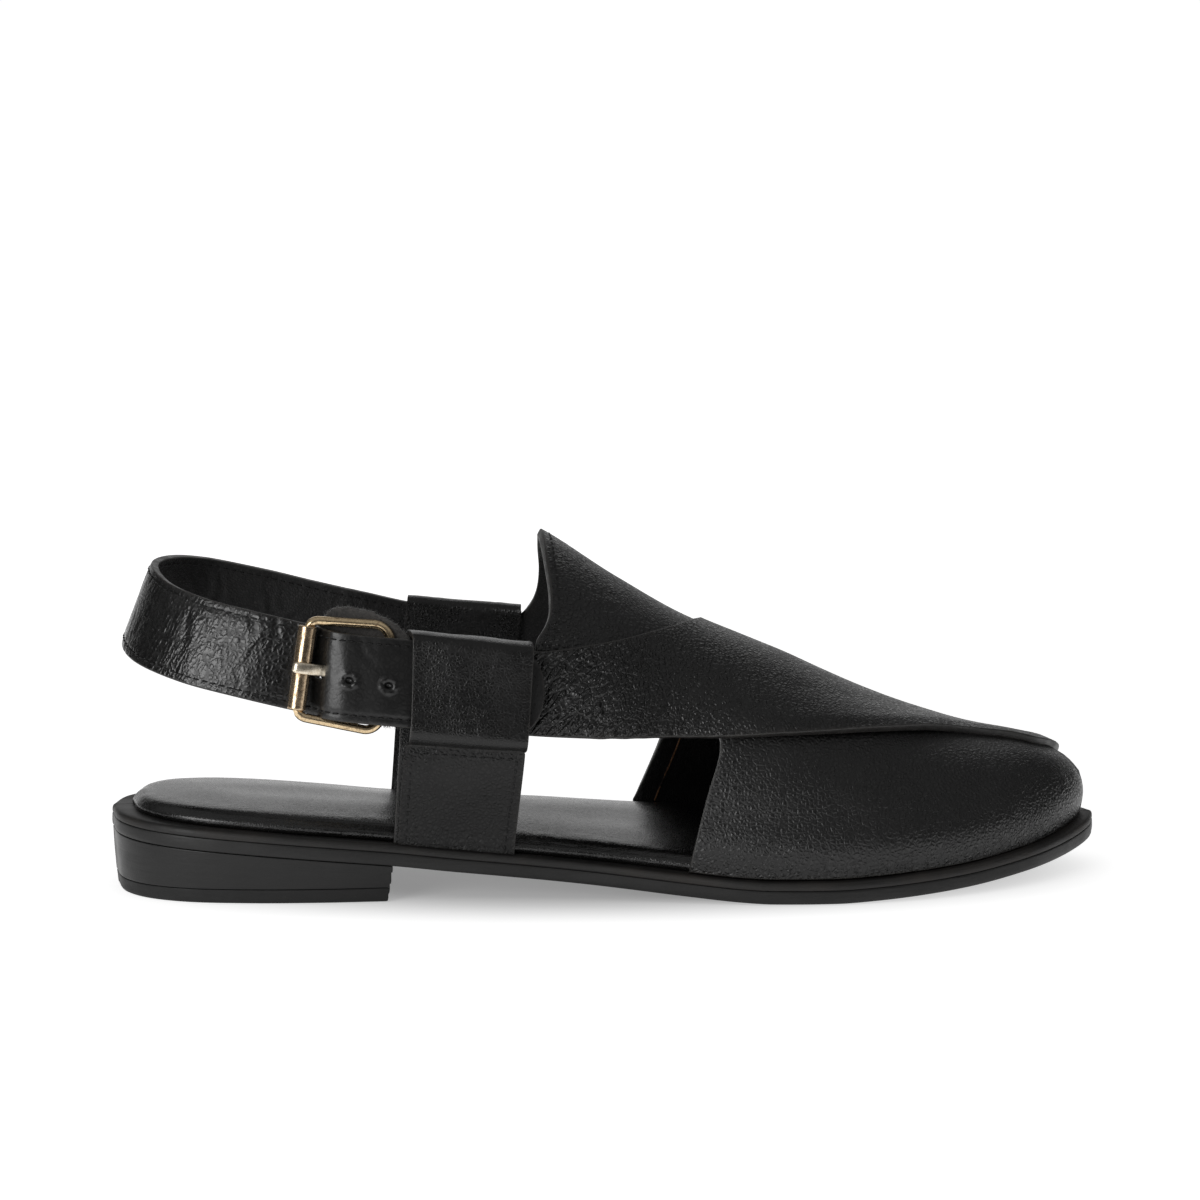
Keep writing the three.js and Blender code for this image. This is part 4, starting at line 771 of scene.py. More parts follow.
class Net:
    """Short forms for shader nodes."""

    def __init__(self, t):
        self.t = t
        self.obj = t.nodes.new("ShaderNodeTexCoord").outputs["Object"]

    def new(self, kind, **kw):
        n = self.t.nodes.new(kind)
        for k, v in kw.items(): setattr(n, k, v)
        return n

    def put(self, socket, v):
        if hasattr(v, "is_output"): self.t.links.new(v, socket)
        else: socket.default_value = v

    def math(self, op, a, b=0.0, c=0.0, clamp=False):
        n = self.new("ShaderNodeMath", operation=op, use_clamp=clamp)
        self.put(n.inputs[0], a)
        self.put(n.inputs[1], b)
        self.put(n.inputs[2], c)
        return n.outputs[0]

    def ramp(self, v, lo, hi, a=0.0, b=1.0):
        n = self.new("ShaderNodeMapRange", interpolation_type="SMOOTHSTEP", clamp=True)
        for i, x in zip(("Value", "From Min", "From Max", "To Min", "To Max"), (v, lo, hi, a, b)): self.put(n.inputs[i], x)
        return n.outputs["Result"]

    def noise(self, vec, scale, detail=3.0, rough=0.55, color=False):
        n = self.new("ShaderNodeTexNoise")
        self.put(n.inputs["Vector"], vec)
        n.inputs["Scale"].default_value, n.inputs["Detail"].default_value = scale, detail
        n.inputs["Roughness"].default_value = rough
        return n.outputs["Color" if color else "Fac"]

    def cells(self, vec, scale, feature="DISTANCE_TO_EDGE", rand=1.0):
        n = self.new("ShaderNodeTexVoronoi", feature=feature)
        self.put(n.inputs["Vector"], vec)
        n.inputs["Scale"].default_value, n.inputs["Randomness"].default_value = scale, rand
        return n.outputs["Distance"]

    def warp(self, vec, scale, amount):
        n = self.noise(vec, scale, 2.0, color=True)
        s = self.new("ShaderNodeVectorMath", operation="MULTIPLY_ADD")
        self.put(s.inputs[0], n)
        s.inputs[1].default_value = (amount,) * 3
        self.put(s.inputs[2], vec)
        return s.outputs[0]

    def mapped(self, vec, rot=(0, 0, 0), scale=(1, 1, 1), loc=(0, 0, 0), kind="POINT"):
        n = self.new("ShaderNodeMapping", vector_type=kind)
        self.put(n.inputs["Vector"], vec)
        n.inputs["Rotation"].default_value, n.inputs["Scale"].default_value = rot, scale
        n.inputs["Location"].default_value = loc
        return n.outputs[0]

    def attr(self, name):
        return self.new("ShaderNodeAttribute", attribute_type="GEOMETRY", attribute_name=name).outputs["Fac"]

    def mix(self, f, a, b):
        n = self.new("ShaderNodeMix", data_type="RGBA")
        self.put(n.inputs["Factor"], f)
        self.put(n.inputs["A"], a if hasattr(a, "is_output") else (*a, 1))
        self.put(n.inputs["B"], b if hasattr(b, "is_output") else (*b, 1))
        return n.outputs["Result"]

    def mixf(self, f, a, b):
        n = self.new("ShaderNodeMix", data_type="FLOAT")
        self.put(n.inputs["Factor"], f)
        self.put(n.inputs["A"], a)
        self.put(n.inputs["B"], b)
        return n.outputs["Result"]

    def bump(self, height, distance, strength=1.0, normal=None):
        n = self.new("ShaderNodeBump")
        n.inputs["Distance"].default_value, n.inputs["Strength"].default_value = distance, strength
        self.put(n.inputs["Height"], height)
        if normal is not None: self.put(n.inputs["Normal"], normal)
        return n.outputs[0]


def leather(name, cell=1.35, depth=0.17, base=(0.0060, 0.0058, 0.0057), rough=(0.25, 0.46), coat=0.0, coat_rough=0.3,
            angle=46, fine=0.10, spec=0.5, creased=1.0, worn=(0.018, 0.0165, 0.0155), soft=0.34, wear_mm=1.0, hole_shade=False):
    m, t, b = nodes_of(name)
    w = Net(t)
    p = w.warp(w.obj, 420, 0.0005)
    d1 = w.cells(p, 1000 / cell)
    d2 = w.cells(w.warp(w.obj, 160, 0.0012), 1000 / (cell * 2.6))
    g1 = w.ramp(d1, 0.0, soft)
    g2 = w.ramp(d2, 0.0, 0.10)
    small = w.noise(w.obj, 2600, 3.0, 0.6)
    mid = w.noise(w.obj, 520, 2.0)
    big = w.noise(w.obj, 42, 3.0)
    h = w.math("MULTIPLY_ADD", g2, 0.45, g1)
    h = w.math("MULTIPLY_ADD", small, fine, h)
    h = w.math("MULTIPLY_ADD", mid, 0.12, h)
    if creased > 0:
        # a net of long folds; they lean with the leather's pull and stand upright further on
        tilt = (0, math.radians(-angle), 0)
        q = w.mapped(w.warp(w.obj, 240, 0.0008), rot=tilt, scale=(4.2, 1.5, 1.0), kind="TEXTURE")
        c1 = w.ramp(w.cells(q, 640), 0.0, 0.26)
        q2 = w.mapped(w.warp(w.obj, 200, 0.001), rot=(0, math.radians(-78), 0), scale=(3.2, 1.5, 1.0), kind="TEXTURE")
        c2 = w.ramp(w.cells(q2, 520), 0.0, 0.12)
        mask = w.math("MULTIPLY", w.attr("crease"), creased, clamp=True)
        h = w.math("MULTIPLY_ADD", w.math("MULTIPLY", c1, mask), 2.6, h)
        h = w.math("MULTIPLY_ADD", w.math("MULTIPLY", c2, w.attr("fan")), 0.6, h)
    h = w.math("MULTIPLY", h, w.math("MULTIPLY_ADD", w.attr("calm"), -0.72, 1.0))
    t.links.new(w.bump(h, depth / 1000), b.inputs["Normal"])
    rg = w.ramp(h, 0.45, 1.6, rough[1], rough[0])
    rg = w.math("ADD", rg, w.math("MULTIPLY_ADD", big, 0.20, -0.10), clamp=True)
    t.links.new(rg, b.inputs["Roughness"])
    # grooves between the pebbles are painted darker than their tops: painted shade in the recesses of the grain
    dark = tuple(0.35 * c for c in base)
    col = w.mix(w.ramp(g1, 0.1, 0.9), dark, base)
    col = w.mix(w.math("MULTIPLY", w.ramp(big, 0.45, 0.75), 0.5), col, tuple(1.45 * c for c in base))
    wear = w.math("MULTIPLY", w.ramp(w.attr("edge"), 0.0, wear_mm, 1.0, 0.0), w.ramp(mid, 0.35, 0.7))
    col = w.mix(wear, col, worn)
    # the dents of the unused strap holes are painted near black: painted shade standing in for the dark inside of a
    # hole
    if hole_shade: col = w.mix(w.ramp(w.attr("hole_shade"), 0.15, 0.6), col, (0.0008, 0.0008, 0.0008))
    t.links.new(col, b.inputs["Base Color"])
    b.inputs["Specular IOR Level"].default_value = spec
    b.inputs["Coat Weight"].default_value = coat
    b.inputs["Coat Roughness"].default_value = coat_rough
    return m


def cut_edge(name, base=(0.016, 0.015, 0.014), light=(0.06, 0.055, 0.05), rough=0.5):
    """Burnished, dyed cut edge of leather: fine layers and fibres."""
    m, t, b = nodes_of(name)
    w = Net(t)
    f = w.noise(w.obj, 1900, 4.0, 0.7)
    s = w.noise(w.obj, 300, 3.0)
    face = w.attr("face")
    ply = w.ramp(w.math("ABSOLUTE", w.math("ADD", face, 0.12)), 0.0, 0.16)
    col = w.mix(w.math("MULTIPLY", w.ramp(f, 0.45, 0.8), w.ramp(s, 0.35, 0.7)), base, light)
    col = w.mix(ply, (0.004, 0.004, 0.004), col)
    t.links.new(col, b.inputs["Base Color"])
    t.links.new(w.ramp(s, 0.3, 0.7, rough - 0.08, rough + 0.12), b.inputs["Roughness"])
    t.links.new(w.bump(w.math("MULTIPLY_ADD", s, 0.7, f), 0.00014), b.inputs["Normal"])
    b.inputs["Specular IOR Level"].default_value = 0.5
    return m


def tan_edge(name):
    m, t, b = nodes_of(name)
    w = Net(t)
    f = w.noise(w.obj, 1500, 4.0, 0.7)
    s = w.noise(w.obj, 260, 3.0)
    col = w.mix(w.ramp(f, 0.3, 0.75), (0.14, 0.062, 0.03), (0.36, 0.19, 0.10))
    col = w.mix(w.ramp(s, 0.52, 0.7), col, (0.02, 0.014, 0.01))
    t.links.new(col, b.inputs["Base Color"])
    t.links.new(w.ramp(f, 0.3, 0.7, 0.6, 0.85), b.inputs["Roughness"])
    t.links.new(w.bump(f, 0.00016), b.inputs["Normal"])
    b.inputs["Specular IOR Level"].default_value = 0.3
    return m


def thread(name):
    m, t, b = nodes_of(name)
    w = Net(t)
    n = w.new("ShaderNodeTexWave", wave_type="BANDS", bands_direction="DIAGONAL")
    w.put(n.inputs["Vector"], w.obj)
    n.inputs["Scale"].default_value, n.inputs["Distortion"].default_value = 900, 1.5
    f = w.noise(w.obj, 2500, 2.0)
    t.links.new(w.mix(f, (0.0030, 0.0030, 0.0032), (0.0085, 0.0083, 0.0083)), b.inputs["Base Color"])
    t.links.new(w.ramp(f, 0.3, 0.7, 0.5, 0.7), b.inputs["Roughness"])
    t.links.new(w.bump(n.outputs["Fac"], 0.00006), b.inputs["Normal"])
    b.inputs["Specular IOR Level"].default_value = 0.3
    return m


def sole_edge(name, base, rough, spec=0.5, lines=0.0, coat=0.0, scratch=0.5, brown=None):
    """Painted and waxed leather edge: fine level lines, small nicks, uneven polish."""
    m, t, b = nodes_of(name)
    w = Net(t)
    q = w.mapped(w.obj, scale=(0.10, 0.10, 1.0))
    along = w.noise(q, 900, 4.0, 0.65)
    speck = w.noise(w.obj, 1400, 3.0, 0.6)
    cloud = w.noise(w.obj, 60, 4.0, 0.6)
    nick = w.ramp(w.cells(w.warp(w.obj, 90, 0.004), 190), 0.0, 0.02)
    h = w.math("MULTIPLY_ADD", along, 0.9, w.math("MULTIPLY", speck, 0.25))
    h = w.math("MULTIPLY_ADD", nick, scratch * 0.35, h)
    t.links.new(w.bump(h, 0.00010), b.inputs["Normal"])
    col = w.mix(w.ramp(along, 0.3, 0.75), tuple(0.6 * c for c in base), base)
    if brown is not None: col = w.mix(w.ramp(cloud, 0.42, 0.68), col, brown)
    col = w.mix(w.math("MULTIPLY", w.ramp(speck, 0.62, 0.8), 0.4), col, tuple(2.2 * c + 0.01 for c in base))
    t.links.new(col, b.inputs["Base Color"])
    t.links.new(w.math("ADD", w.ramp(cloud, 0.3, 0.7, rough - 0.07, rough + 0.09), w.math("MULTIPLY", along, 0.12), clamp=True), b.inputs["Roughness"])
    b.inputs["Specular IOR Level"].default_value = spec
    b.inputs["Coat Weight"].default_value = coat
    b.inputs["Coat Roughness"].default_value = 0.25
    return m


def metal(name, bright, dull, dark, rough=(0.26, 0.5), amount=0.5):
    """Worn antique plating: bright where rubbed, brown in patches."""
    m, t, b = nodes_of(name)
    w = Net(t)
    c = w.noise(w.obj, 330, 4.0, 0.65)
    f = w.noise(w.obj, 1700, 4.0, 0.7)
    q = w.mapped(w.obj, scale=(1.0, 1.0, 0.12))
    line = w.noise(q, 2400, 2.0)
    k = w.ramp(w.math("MULTIPLY_ADD", f, 0.2, c), 0.56 + 0.2 * (1 - amount), 0.86)
    col = w.mix(w.ramp(f, 0.35, 0.7), bright, dull)
    col = w.mix(k, col, dark)
    t.links.new(col, b.inputs["Base Color"])
    b.inputs["Metallic"].default_value = 1.0
    rr = w.mixf(k, w.ramp(c, 0.3, 0.7, rough[0], rough[0] + 0.1), rough[1])
    t.links.new(rr, b.inputs["Roughness"])
    h = w.math("MULTIPLY_ADD", line, 0.5, w.math("MULTIPLY", k, -1.0))
    t.links.new(w.bump(w.math("MULTIPLY_ADD", f, 0.5, h), 0.000018), b.inputs["Normal"])
    return m


def suede(name, base=(0.02, 0.019, 0.018), light=(0.075, 0.07, 0.066)):
    m, t, b = nodes_of(name)
    w = Net(t)
    f = w.noise(w.obj, 1300, 5.0, 0.75)
    c = w.noise(w.obj, 210, 3.0)
    t.links.new(w.mix(w.ramp(w.math("MULTIPLY_ADD", c, 0.4, f), 0.45, 0.95), base, light), b.inputs["Base Color"])
    t.links.new(w.ramp(c, 0.3, 0.7, 0.75, 0.92), b.inputs["Roughness"])
    t.links.new(w.bump(f, 0.0003), b.inputs["Normal"])
    b.inputs["Sheen Weight"].default_value = 0.4
    b.inputs["Sheen Roughness"].default_value = 0.6
    b.inputs["Specular IOR Level"].default_value = 0.25
    return m


M_OVER = leather("grain_over")
M_UNDER = leather("grain_under", cell=1.3, depth=0.13, rough=(0.27, 0.46), angle=8)
M_STRAP = leather("grain_strap", cell=1.5, depth=0.06, rough=(0.20, 0.38), angle=60, coat=0.12, coat_rough=0.16, hole_shade=True)
M_FLAP = leather("smooth_flap", cell=0.95, depth=0.045, rough=(0.26, 0.42), fine=0.4, creased=0.5, angle=80, spec=0.40)
M_FRONT = leather("grain_loop", cell=1.2, depth=0.10, rough=(0.28, 0.48), spec=0.30)
M_LINING = leather("lining", cell=0.9, depth=0.08, rough=(0.34, 0.55), spec=0.40, creased=0.9, angle=85,
                   base=(0.0085, 0.0083, 0.0082))
M_PAD = leather("footbed_skin", cell=0.75, depth=0.03, rough=(0.24, 0.36), fine=0.6, coat=0.22, coat_rough=0.18, creased=0.6, angle=0)
M_EDGE = cut_edge("cut_edge", rough=0.36)
M_RAW = tan_edge("raw_edge")
M_THREAD = thread("thread")
M_SUEDE = suede("flesh_side")
M_OUTSOLE = sole_edge("outsole_edge", (0.0085, 0.0082, 0.0080), 0.42, spec=0.36, coat=0.05)
M_LEDGE = sole_edge("ledge", (0.0095, 0.0088, 0.0083), 0.46, spec=0.4, brown=(0.016, 0.0135, 0.0115))
M_HEEL = sole_edge("heel_edge", (0.0050, 0.0049, 0.0048), 0.36, spec=0.34, coat=0.08, scratch=0.3)
M_TOPPIECE = sole_edge("heel_rubber", (0.0078, 0.0078, 0.0078), 0.5, spec=0.32)
M_METAL = metal("frame_metal", (0.82, 0.64, 0.40), (0.55, 0.41, 0.25), (0.17, 0.105, 0.055), rough=(0.2, 0.45))
M_ROLLER = metal("roller_metal", (0.66, 0.51, 0.34), (0.40, 0.29, 0.19), (0.15, 0.09, 0.05), rough=(0.2, 0.4), amount=0.8)
M_PRONG = metal("prong_metal", (0.86, 0.78, 0.64), (0.62, 0.53, 0.40), (0.25, 0.18, 0.11), amount=0.3)

# ------------------------------------------------------------------ where everything stands in the row frame
lo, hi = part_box("outsole")
own = np.concatenate([SIDE["lateral"], SIDE["medial"]])
SHIFT = np.array([(lo[0] + hi[0]) * 500 - (own[:, 0].min() + own[:, 0].max()) / 2,
                  (lo[1] + hi[1]) * 500 - (own[:, 1].min() + own[:, 1].max()) / 2, 0.0])

# ------------------------------------------------------------------ crossed panels
free_tree = over_free[over_free[:, 0] > 30]
_fx, _fy = np.meshgrid(np.arange(18, 150, 1.5), np.arange(-62, 62, 1.5), indexing="ij")
_fd = away(resample(free_tree, step=0.5), _fx, _fy)


def free_distance(X, Y):
    i = np.clip((X - 18) / 1.5, 0, _fx.shape[0] - 1.001)
    j = np.clip((Y + 62) / 1.5, 0, _fx.shape[1] - 1.001)
    a, b = i - np.floor(i), j - np.floor(j)
    i, j = np.floor(i).astype(int), np.floor(j).astype(int)
    return (1 - a) * (1 - b) * _fd[i, j] + a * (1 - b) * _fd[i + 1, j] + (1 - a) * b * _fd[i, j + 1] + a * b * _fd[i + 1, j + 1]


stand = lambda X, Y: PROUD * smooth(1 - free_distance(X, Y) / 11) * smooth((X - 20) / 25) * (1 - 0.55 * smooth((X - 84) / 24))
crease_over = lambda X, Y, P: np.where(P[:, 1] < 0, smooth((14 - P[:, 0]) / 30) * smooth((P[:, 0] + 68) / 10), 0.03)


def relief_over(X, Y, P):
    x, z = P[:, 0], P[:, 2]
    near = np.where(P[:, 1] < 0, smooth((14 - x) / 30) * smooth((x + 32) / 6), 0)
    f = ripple(x, z, 11, 52, (-26, 4, 50, 73), 0.20, 1.4, angle=34, spread=24, length=5) * near
    g = ripple(x, z, 12, 16, (0, 45, 48, 62), 0.10, 2.2, angle=75, spread=30, length=9) * np.where(P[:, 1] < 0, 1, 0)
    roll = 0.28 * np.exp(-((free_distance(X, Y) - 2.6) / 1.3) ** 2) * smooth((X - 10) / 20)
    low = 0.05 * np.sin(x * 0.21 + 1.3 * np.sin(z * 0.13)) * np.sin(z * 0.27 + 0.8)
    return f + g + roll + low


upper_over = sheet("vamp_over", [OVER], last_offset, lambda X, Y: OVER_IN + stand(X, Y), lambda X, Y: OVER_OUT + stand(X, Y),
                   [M_OVER, M_LINING, M_EDGE], ["upper"], step=(1.15, 0.8), bulge=0.5, relief=relief_over,
                   marks={"crease": crease_over, "fan": lambda X, Y, P: np.where(P[:, 1] < 0, smooth((P[:, 0] + 14) / 14) * smooth((52 - P[:, 0]) / 40), 0)},
                   fine=(-66, 12, -46, -8, 0.8))


def relief_under(X, Y, P):
    x, z = P[:, 0], P[:, 2]
    k = np.where(P[:, 1] < 2, smooth((26 - x) / 26) * smooth((z - 62) / 10), 0)
    f = ripple(x, z, 21, 26, (-20, 2, 72, 94), 0.12, 1.3, angle=8, spread=26, length=5) * k
    low = 0.05 * np.sin(x * 0.17 + 0.6) * np.sin(z * 0.23 + P[:, 1] * 0.1)
    return f + low


upper_under = sheet("vamp_under", [UNDER], last_offset, lambda X, Y: UNDER_IN + 0 * X, lambda X, Y: UNDER_OUT + 0 * X,
                    [M_UNDER, M_LINING, M_EDGE], ["upper"], step=(1.15, 0.8), bulge=0.5,
                    relief=relief_under,
                    marks={"crease": lambda X, Y, P: np.where((P[:, 2] > 60) & (P[:, 1] < 4), 0.35 * smooth((6 - P[:, 0]) / 30), 0)})


def on_last(run, inset, off, side=1):
    """A line beside a run of the plan, with normals; positive inset goes to the left of its direction."""
    P = resample(run, step=0.8)
    t = unit(np.gradient(P, axis=0))
    Q = P + np.stack([-t[:, 1], t[:, 0]], 1) * inset * side
    X, Y = Q[:, 0], Q[:, 1]
    A = last_offset(X, Y, np.full(len(X), off))
    n = unit(last_offset(X, Y, np.full(len(X), off + 0.4)) - last_offset(X, Y, np.full(len(X), off - 0.4)))
    return A, n


def seam_piece(name, runs, slot="upper_leather", nodes=("upper",), **kw):
    parts = [stitches(A, n, **kw) for A, n in runs]
    V, F = merge(parts)
    return mesh_object(name, V, F, M_THREAD, nodes)


def cut_run(A, n, test):
    k = test(A)
    return A[k], n[k]


# ------------------------------------------------------------------ back strap
def tip_loop():
    s1 = STRAP_L
    w = STRAP_HALF
    a, b = [], []
    for q in np.linspace(0, 1, 40):
        s = lerp(s1 - 10.5, s1, math.sin(q * math.pi / 2))
        h = w * (1 - min(1.0, ((s - (s1 - 10.5)) / 10.5)) ** 2.3) ** (1 / 2.3)
        a.append([s, -h])
        b.append([s, h])
    low = np.stack([np.linspace(0, s1 - 10.6, 400), np.full(400, -w)], 1)
    high = low[::-1] * [1, -1]
    return np.vstack([low, a, b[::-1][1:], high])


def hole(s, v, r, n=20, stretch=1.0):
    w = np.linspace(0, 2 * np.pi, n, endpoint=False)
    return np.stack([s + r * stretch * np.cos(w), v + r * np.sin(w)], 1)


tip = tip_loop()
tip = tip[np.concatenate([[True], np.hypot(*(np.diff(tip, axis=0).T)) > 0.05])]
s_bar = strap_s(-67.0)
s_of = lambda x: float(np.interp(x, spine[spine[:, 1] < -20, 0], arc[spine[:, 1] < -20]))
PITS = [(s_of(-77.3), -0.6), (s_of(-66.4), -1.0)]
holes = [hole(s_of(-85.2), -0.1, 1.75, 28, stretch=1.5)]
pit_depth = lambda S, Vv: sum(np.exp(-(np.hypot((S - a) * 0.8, Vv - b) / 0.85) ** 4) for a, b in PITS)


def strap_relief(sgn):
    def f(S, Vv, P):
        out = ripple(S, Vv, 31, 70, (6, STRAP_L - 70, -10, 10), 0.13, 1.6, angle=82, spread=46, length=6)
        out += ripple(S, Vv, 32, 9, (STRAP_L - 72, STRAP_L - 34, -10, 10), 0.07, 1.6, angle=100, spread=40, length=5)
        if sgn > 0:
            lips = -1.1 * pit_depth(S, Vv)
            for a, b in PITS:
                d, th = np.hypot(S - a, Vv - b), np.arctan2(Vv - b, S - a)
                lips = lips + 0.22 * np.exp(-((d - 2.0) / 0.7) ** 2) + 0.10 * np.cos(5 * th + a) * np.exp(-((d - 1.6) / 0.9) ** 2)
            pillow = 0.35 * (1 - (Vv / STRAP_HALF) ** 4) - 0.16 * np.exp(-((np.abs(Vv) - (STRAP_HALF - 2.1)) / 0.55) ** 2)
            out = out + lips + pillow
        return out
    return f


back_strap = sheet("back_strap_skin", [tip] + holes, strap_map, lambda S, V_: np.full_like(S, -LEATHER / 2),
                   lambda S, V_: np.full_like(S, LEATHER / 2 - 0.25), [M_STRAP, M_LINING, M_EDGE], ["back_strap"],
                   step=(0.95, 0.75), clear=0.55, bulge=0.4, relief=strap_relief(1), relief_in=strap_relief(-1),
                   fine=(PITS[0][0] - 3.4, PITS[1][0] + 3.4, -4.2, 3.2, 0.34),
                   # this mark drives the painted shade in the dents of the strap's unused holes
                   marks={"hole_shade": lambda S, V_, P: pit_depth(S, V_),
                          "calm": lambda S, V_, P: smooth((S - s_of(-97)) / 8),
                          "crease": lambda S, V_, P: 0.06 + 0.14 * np.exp(-((S - s_of(-83)) / 5) ** 2)
                          + 0.34 * np.exp(-((S - s_of(-122)) / 26) ** 2)})


def strap_seam(v, s0, s1, off, step=0.7):
    s = np.arange(s0, s1, step)
    return strap_map(s, np.full_like(s, v), np.full_like(s, off)), strap_map.normal(s, np.full_like(s, v)) * (1 if off > 0 else -1)


seam_v = STRAP_HALF - 2.1
tq = np.linspace(-1, 1, 60)
tip_s = STRAP_L - 10.5 + 8.4 * np.cos(tq * math.pi / 2)
tip_v = (STRAP_HALF - 2.1) * np.sin(tq * math.pi / 2)
tip_line = (strap_map(tip_s, tip_v, np.full_like(tip_s, 1.05)), strap_map.normal(tip_s, tip_v))
seam_piece("back_strap_stitches", [strap_seam(seam_v, 4, STRAP_L - 10.5, 1.12), strap_seam(-seam_v, 4, STRAP_L - 10.5, 1.12), tip_line,
                                   strap_seam(seam_v, 4, STRAP_L - 46, -1.2), strap_seam(-seam_v, 4, STRAP_L - 46, -1.2)],
           "strap_leather", ("back_strap",), pitch=2.55, length=1.75, r=0.27)

# ------------------------------------------------------------------ side loops
for side in ("lateral", "medial"):
    g, Lv, h, Lf = keeper_grids(side)
    node = "keeper_loop_" + side
    flap_end = 0.6
    loop = rounded(0, flap_end, 34.6, Lv, 1.0, corners=(1, 1, 0, 0))
    def sag(U, V_, P):
        return (0.10 * np.sin(U * 0.33 + 1) * np.sin(V_ * 0.19)
                + ripple(U, V_, 41, 16, (2, 32, 4, 40), 0.07, 1.8, angle=85, spread=60, length=5)
                + 0.22 * (1 - ((U - 17.3) / 17.3) ** 4) - 0.22)
    thin = lambda V_: 1 - smooth((V_ - flap_end) / 3.2)
    sheet("loop_strap_" + side, [loop], g, lambda U, V_: -0.85 + 0.62 * thin(V_), lambda U, V_: 0.85 - 0.72 * thin(V_),
          [M_FLAP, M_LINING, M_EDGE], [node], step=(1.0, 0.9), clear=0.7, bulge=0.3, relief=sag,
          marks={"crease": lambda U, V_, P: 0.15 + 0 * U})
    panel_loop = rounded(0, 0, 33.0, Lf, 0.8, corners=(1, 1, 0, 0))
    sheet("loop_front_" + side, [panel_loop], h, lambda U, V_: -0.3 - 2.3 * smooth((Lf - 2 - V_) / 29), lambda U, V_: np.full_like(U, 0.42),
          [M_FRONT, M_LINING, M_EDGE], [node], step=(1.0, 0.9), clear=0.6, bulge=0.2, rings=7,
          relief=lambda U, V_, P: 0.12 * np.sin(U * 0.3 + 0.4) * np.sin(V_ * 0.25)
          + ripple(U, V_, 42, 20, (3, 30, 2, Lf - 3), 0.08, 1.5, angle=60, spread=60, length=4),
          marks={"crease": lambda U, V_, P: 0.12 + 0 * U})
    runs = []
    for u in (1.9, 31.2):
        q = np.arange(2.1, Lf - 0.8, 0.7)
        uu = np.full_like(q, u) - (0.9 * q / Lf if u > 10 else 0)
        runs.append((h(uu, q, np.full_like(q, 0.42)), h.normal(uu, q)))
    q = np.arange(1.9, 31.0, 0.7)
    runs.append((h(q, np.full_like(q, 2.2), np.full_like(q, 0.42)), h.normal(q, np.full_like(q, 2.2))))
    seam_piece("loop_stitches_" + side, runs, "strap_leather", (node,), pitch=2.5, length=1.7, r=0.26)

# ------------------------------------------------------------------ guard behind the buckle
guard_pts = catmull([(-60, 76.0), (-64.4, 80.2), (-70.8, 83.4), (-77, 84.8), (-82, 84.2), (-85.4, 80.5), (-86.0, 72),
                     (-84.5, 62), (-80, 56), (-74, 52.8), (-69.4, 51.4), (-64.5, 50.6), (-60, 50.2)], 12)
guard_loop = np.vstack([guard_pts, resample([[-60, 50.2], [-58, 60], [-60, 76.0]], 30)[1:-1]])
jag = np.random.default_rng(5)
guard_loop = resample(np.vstack([guard_loop, guard_loop[:1]]), step=0.45)[:-1]
guard_loop += np.where((guard_loop[:, :1] < -60.5), 1, 0) * jag.normal(0, 0.16, guard_loop.shape)


def guard_map(x, z, off):
    x, z = np.asarray(x, float), np.asarray(z, float)
    y = lerp(-34.0, -32.6, smooth((-x - 62) / 18)) + 0.008 * (z - 66) ** 2 / 6 - (z - 66) * 0.02
    return np.stack([x, y - np.asarray(off), z], -1)


sheet("buckle_guard", [guard_loop], guard_map, lambda X, Z: np.full_like(X, -0.8), lambda X, Z: np.full_like(X, 0.8),
      [M_SUEDE, M_LINING, M_SUEDE], ["upper"], step=(1.0, 1.0), clear=0.5, bulge=0.3, rings=7)
fuzz = []
for i in range(0, len(guard_loop), 1):
    x, z = guard_loop[i]
    if x > -60.8: continue
    c = guard_loop.mean(0)
    d = unit(np.array([x - c[0], z - c[1]]))
    for k in range(3):
        y0 = guard_map(np.array([x]), np.array([z]), np.array([jag.uniform(-0.6, 0.7)]))[0]
        L = jag.uniform(0.35, 1.1)
        dd = np.array([d[0] + jag.normal(0, 0.5), -0.2 + jag.normal(0, 0.5), d[1] + jag.normal(0, 0.5)])
        q = y0 + unit(dd) * L * np.linspace(-0.2, 1, 4)[:, None] + np.array([0, 0, -0.25]) * (np.linspace(0, 1, 4)[:, None] ** 2)
        fuzz.append(tube(q, [0.07, 0.06, 0.045, 0.02], sides=4, up=(0.3, 1, 0.2)))
V, F = merge(fuzz)
mesh_object("buckle_guard_fibres", V, F, M_SUEDE, ["upper"])

# ------------------------------------------------------------------ sole
def perimeter(off, to_x=None, n=260, across=24):
    """Closed outline, heel to toe on the outer side and back; rows of x, y and the x that sets the height."""
    out = []
    for side in ("lateral", "medial"):
        P, Nn = SIDE[side], SIDE_N[side]
        o = off(P[:, 0]) if callable(off) else np.full(len(P), float(off))
        Q = np.stack([P[:, 0] + Nn[:, 0] * o, P[:, 1] + Nn[:, 1] * o, P[:, 0]], 1)
        u = np.linspace(0, 1, n + 1)
        w = lerp(u, 0.5 - 0.5 * np.cos(np.pi * u), 0.45)
        if to_x is not None:
            stop = int(np.argmax(Q[:, 0] > to_x + (off if not callable(off) else 0)))
            Q = Q[:stop]
        idx = w * (len(Q) - 1)
        Q = np.stack([np.interp(idx, np.arange(len(Q)), Q[:, k]) for k in range(3)], 1)
        out.append(Q)
    a, b = out
    if to_x is None: return np.vstack([a, b[::-1][1:-1]])
    x = a[-1, 0]
    r = 0.9
    f = np.linspace(0, 1, across + 1)[1:-1]
    face = np.stack([np.full_like(f, x) - 0.5 * np.sin(np.pi * f), lerp(a[-1, 1], b[-1, 1], f), np.full_like(f, to_x)], 1)
    a[-1, :2] += [-r * 0.35, r * 0.35]
    b[-1, :2] += [-r * 0.35, -r * 0.35]
    return np.vstack([a, face, b[::-1][1:-1]])


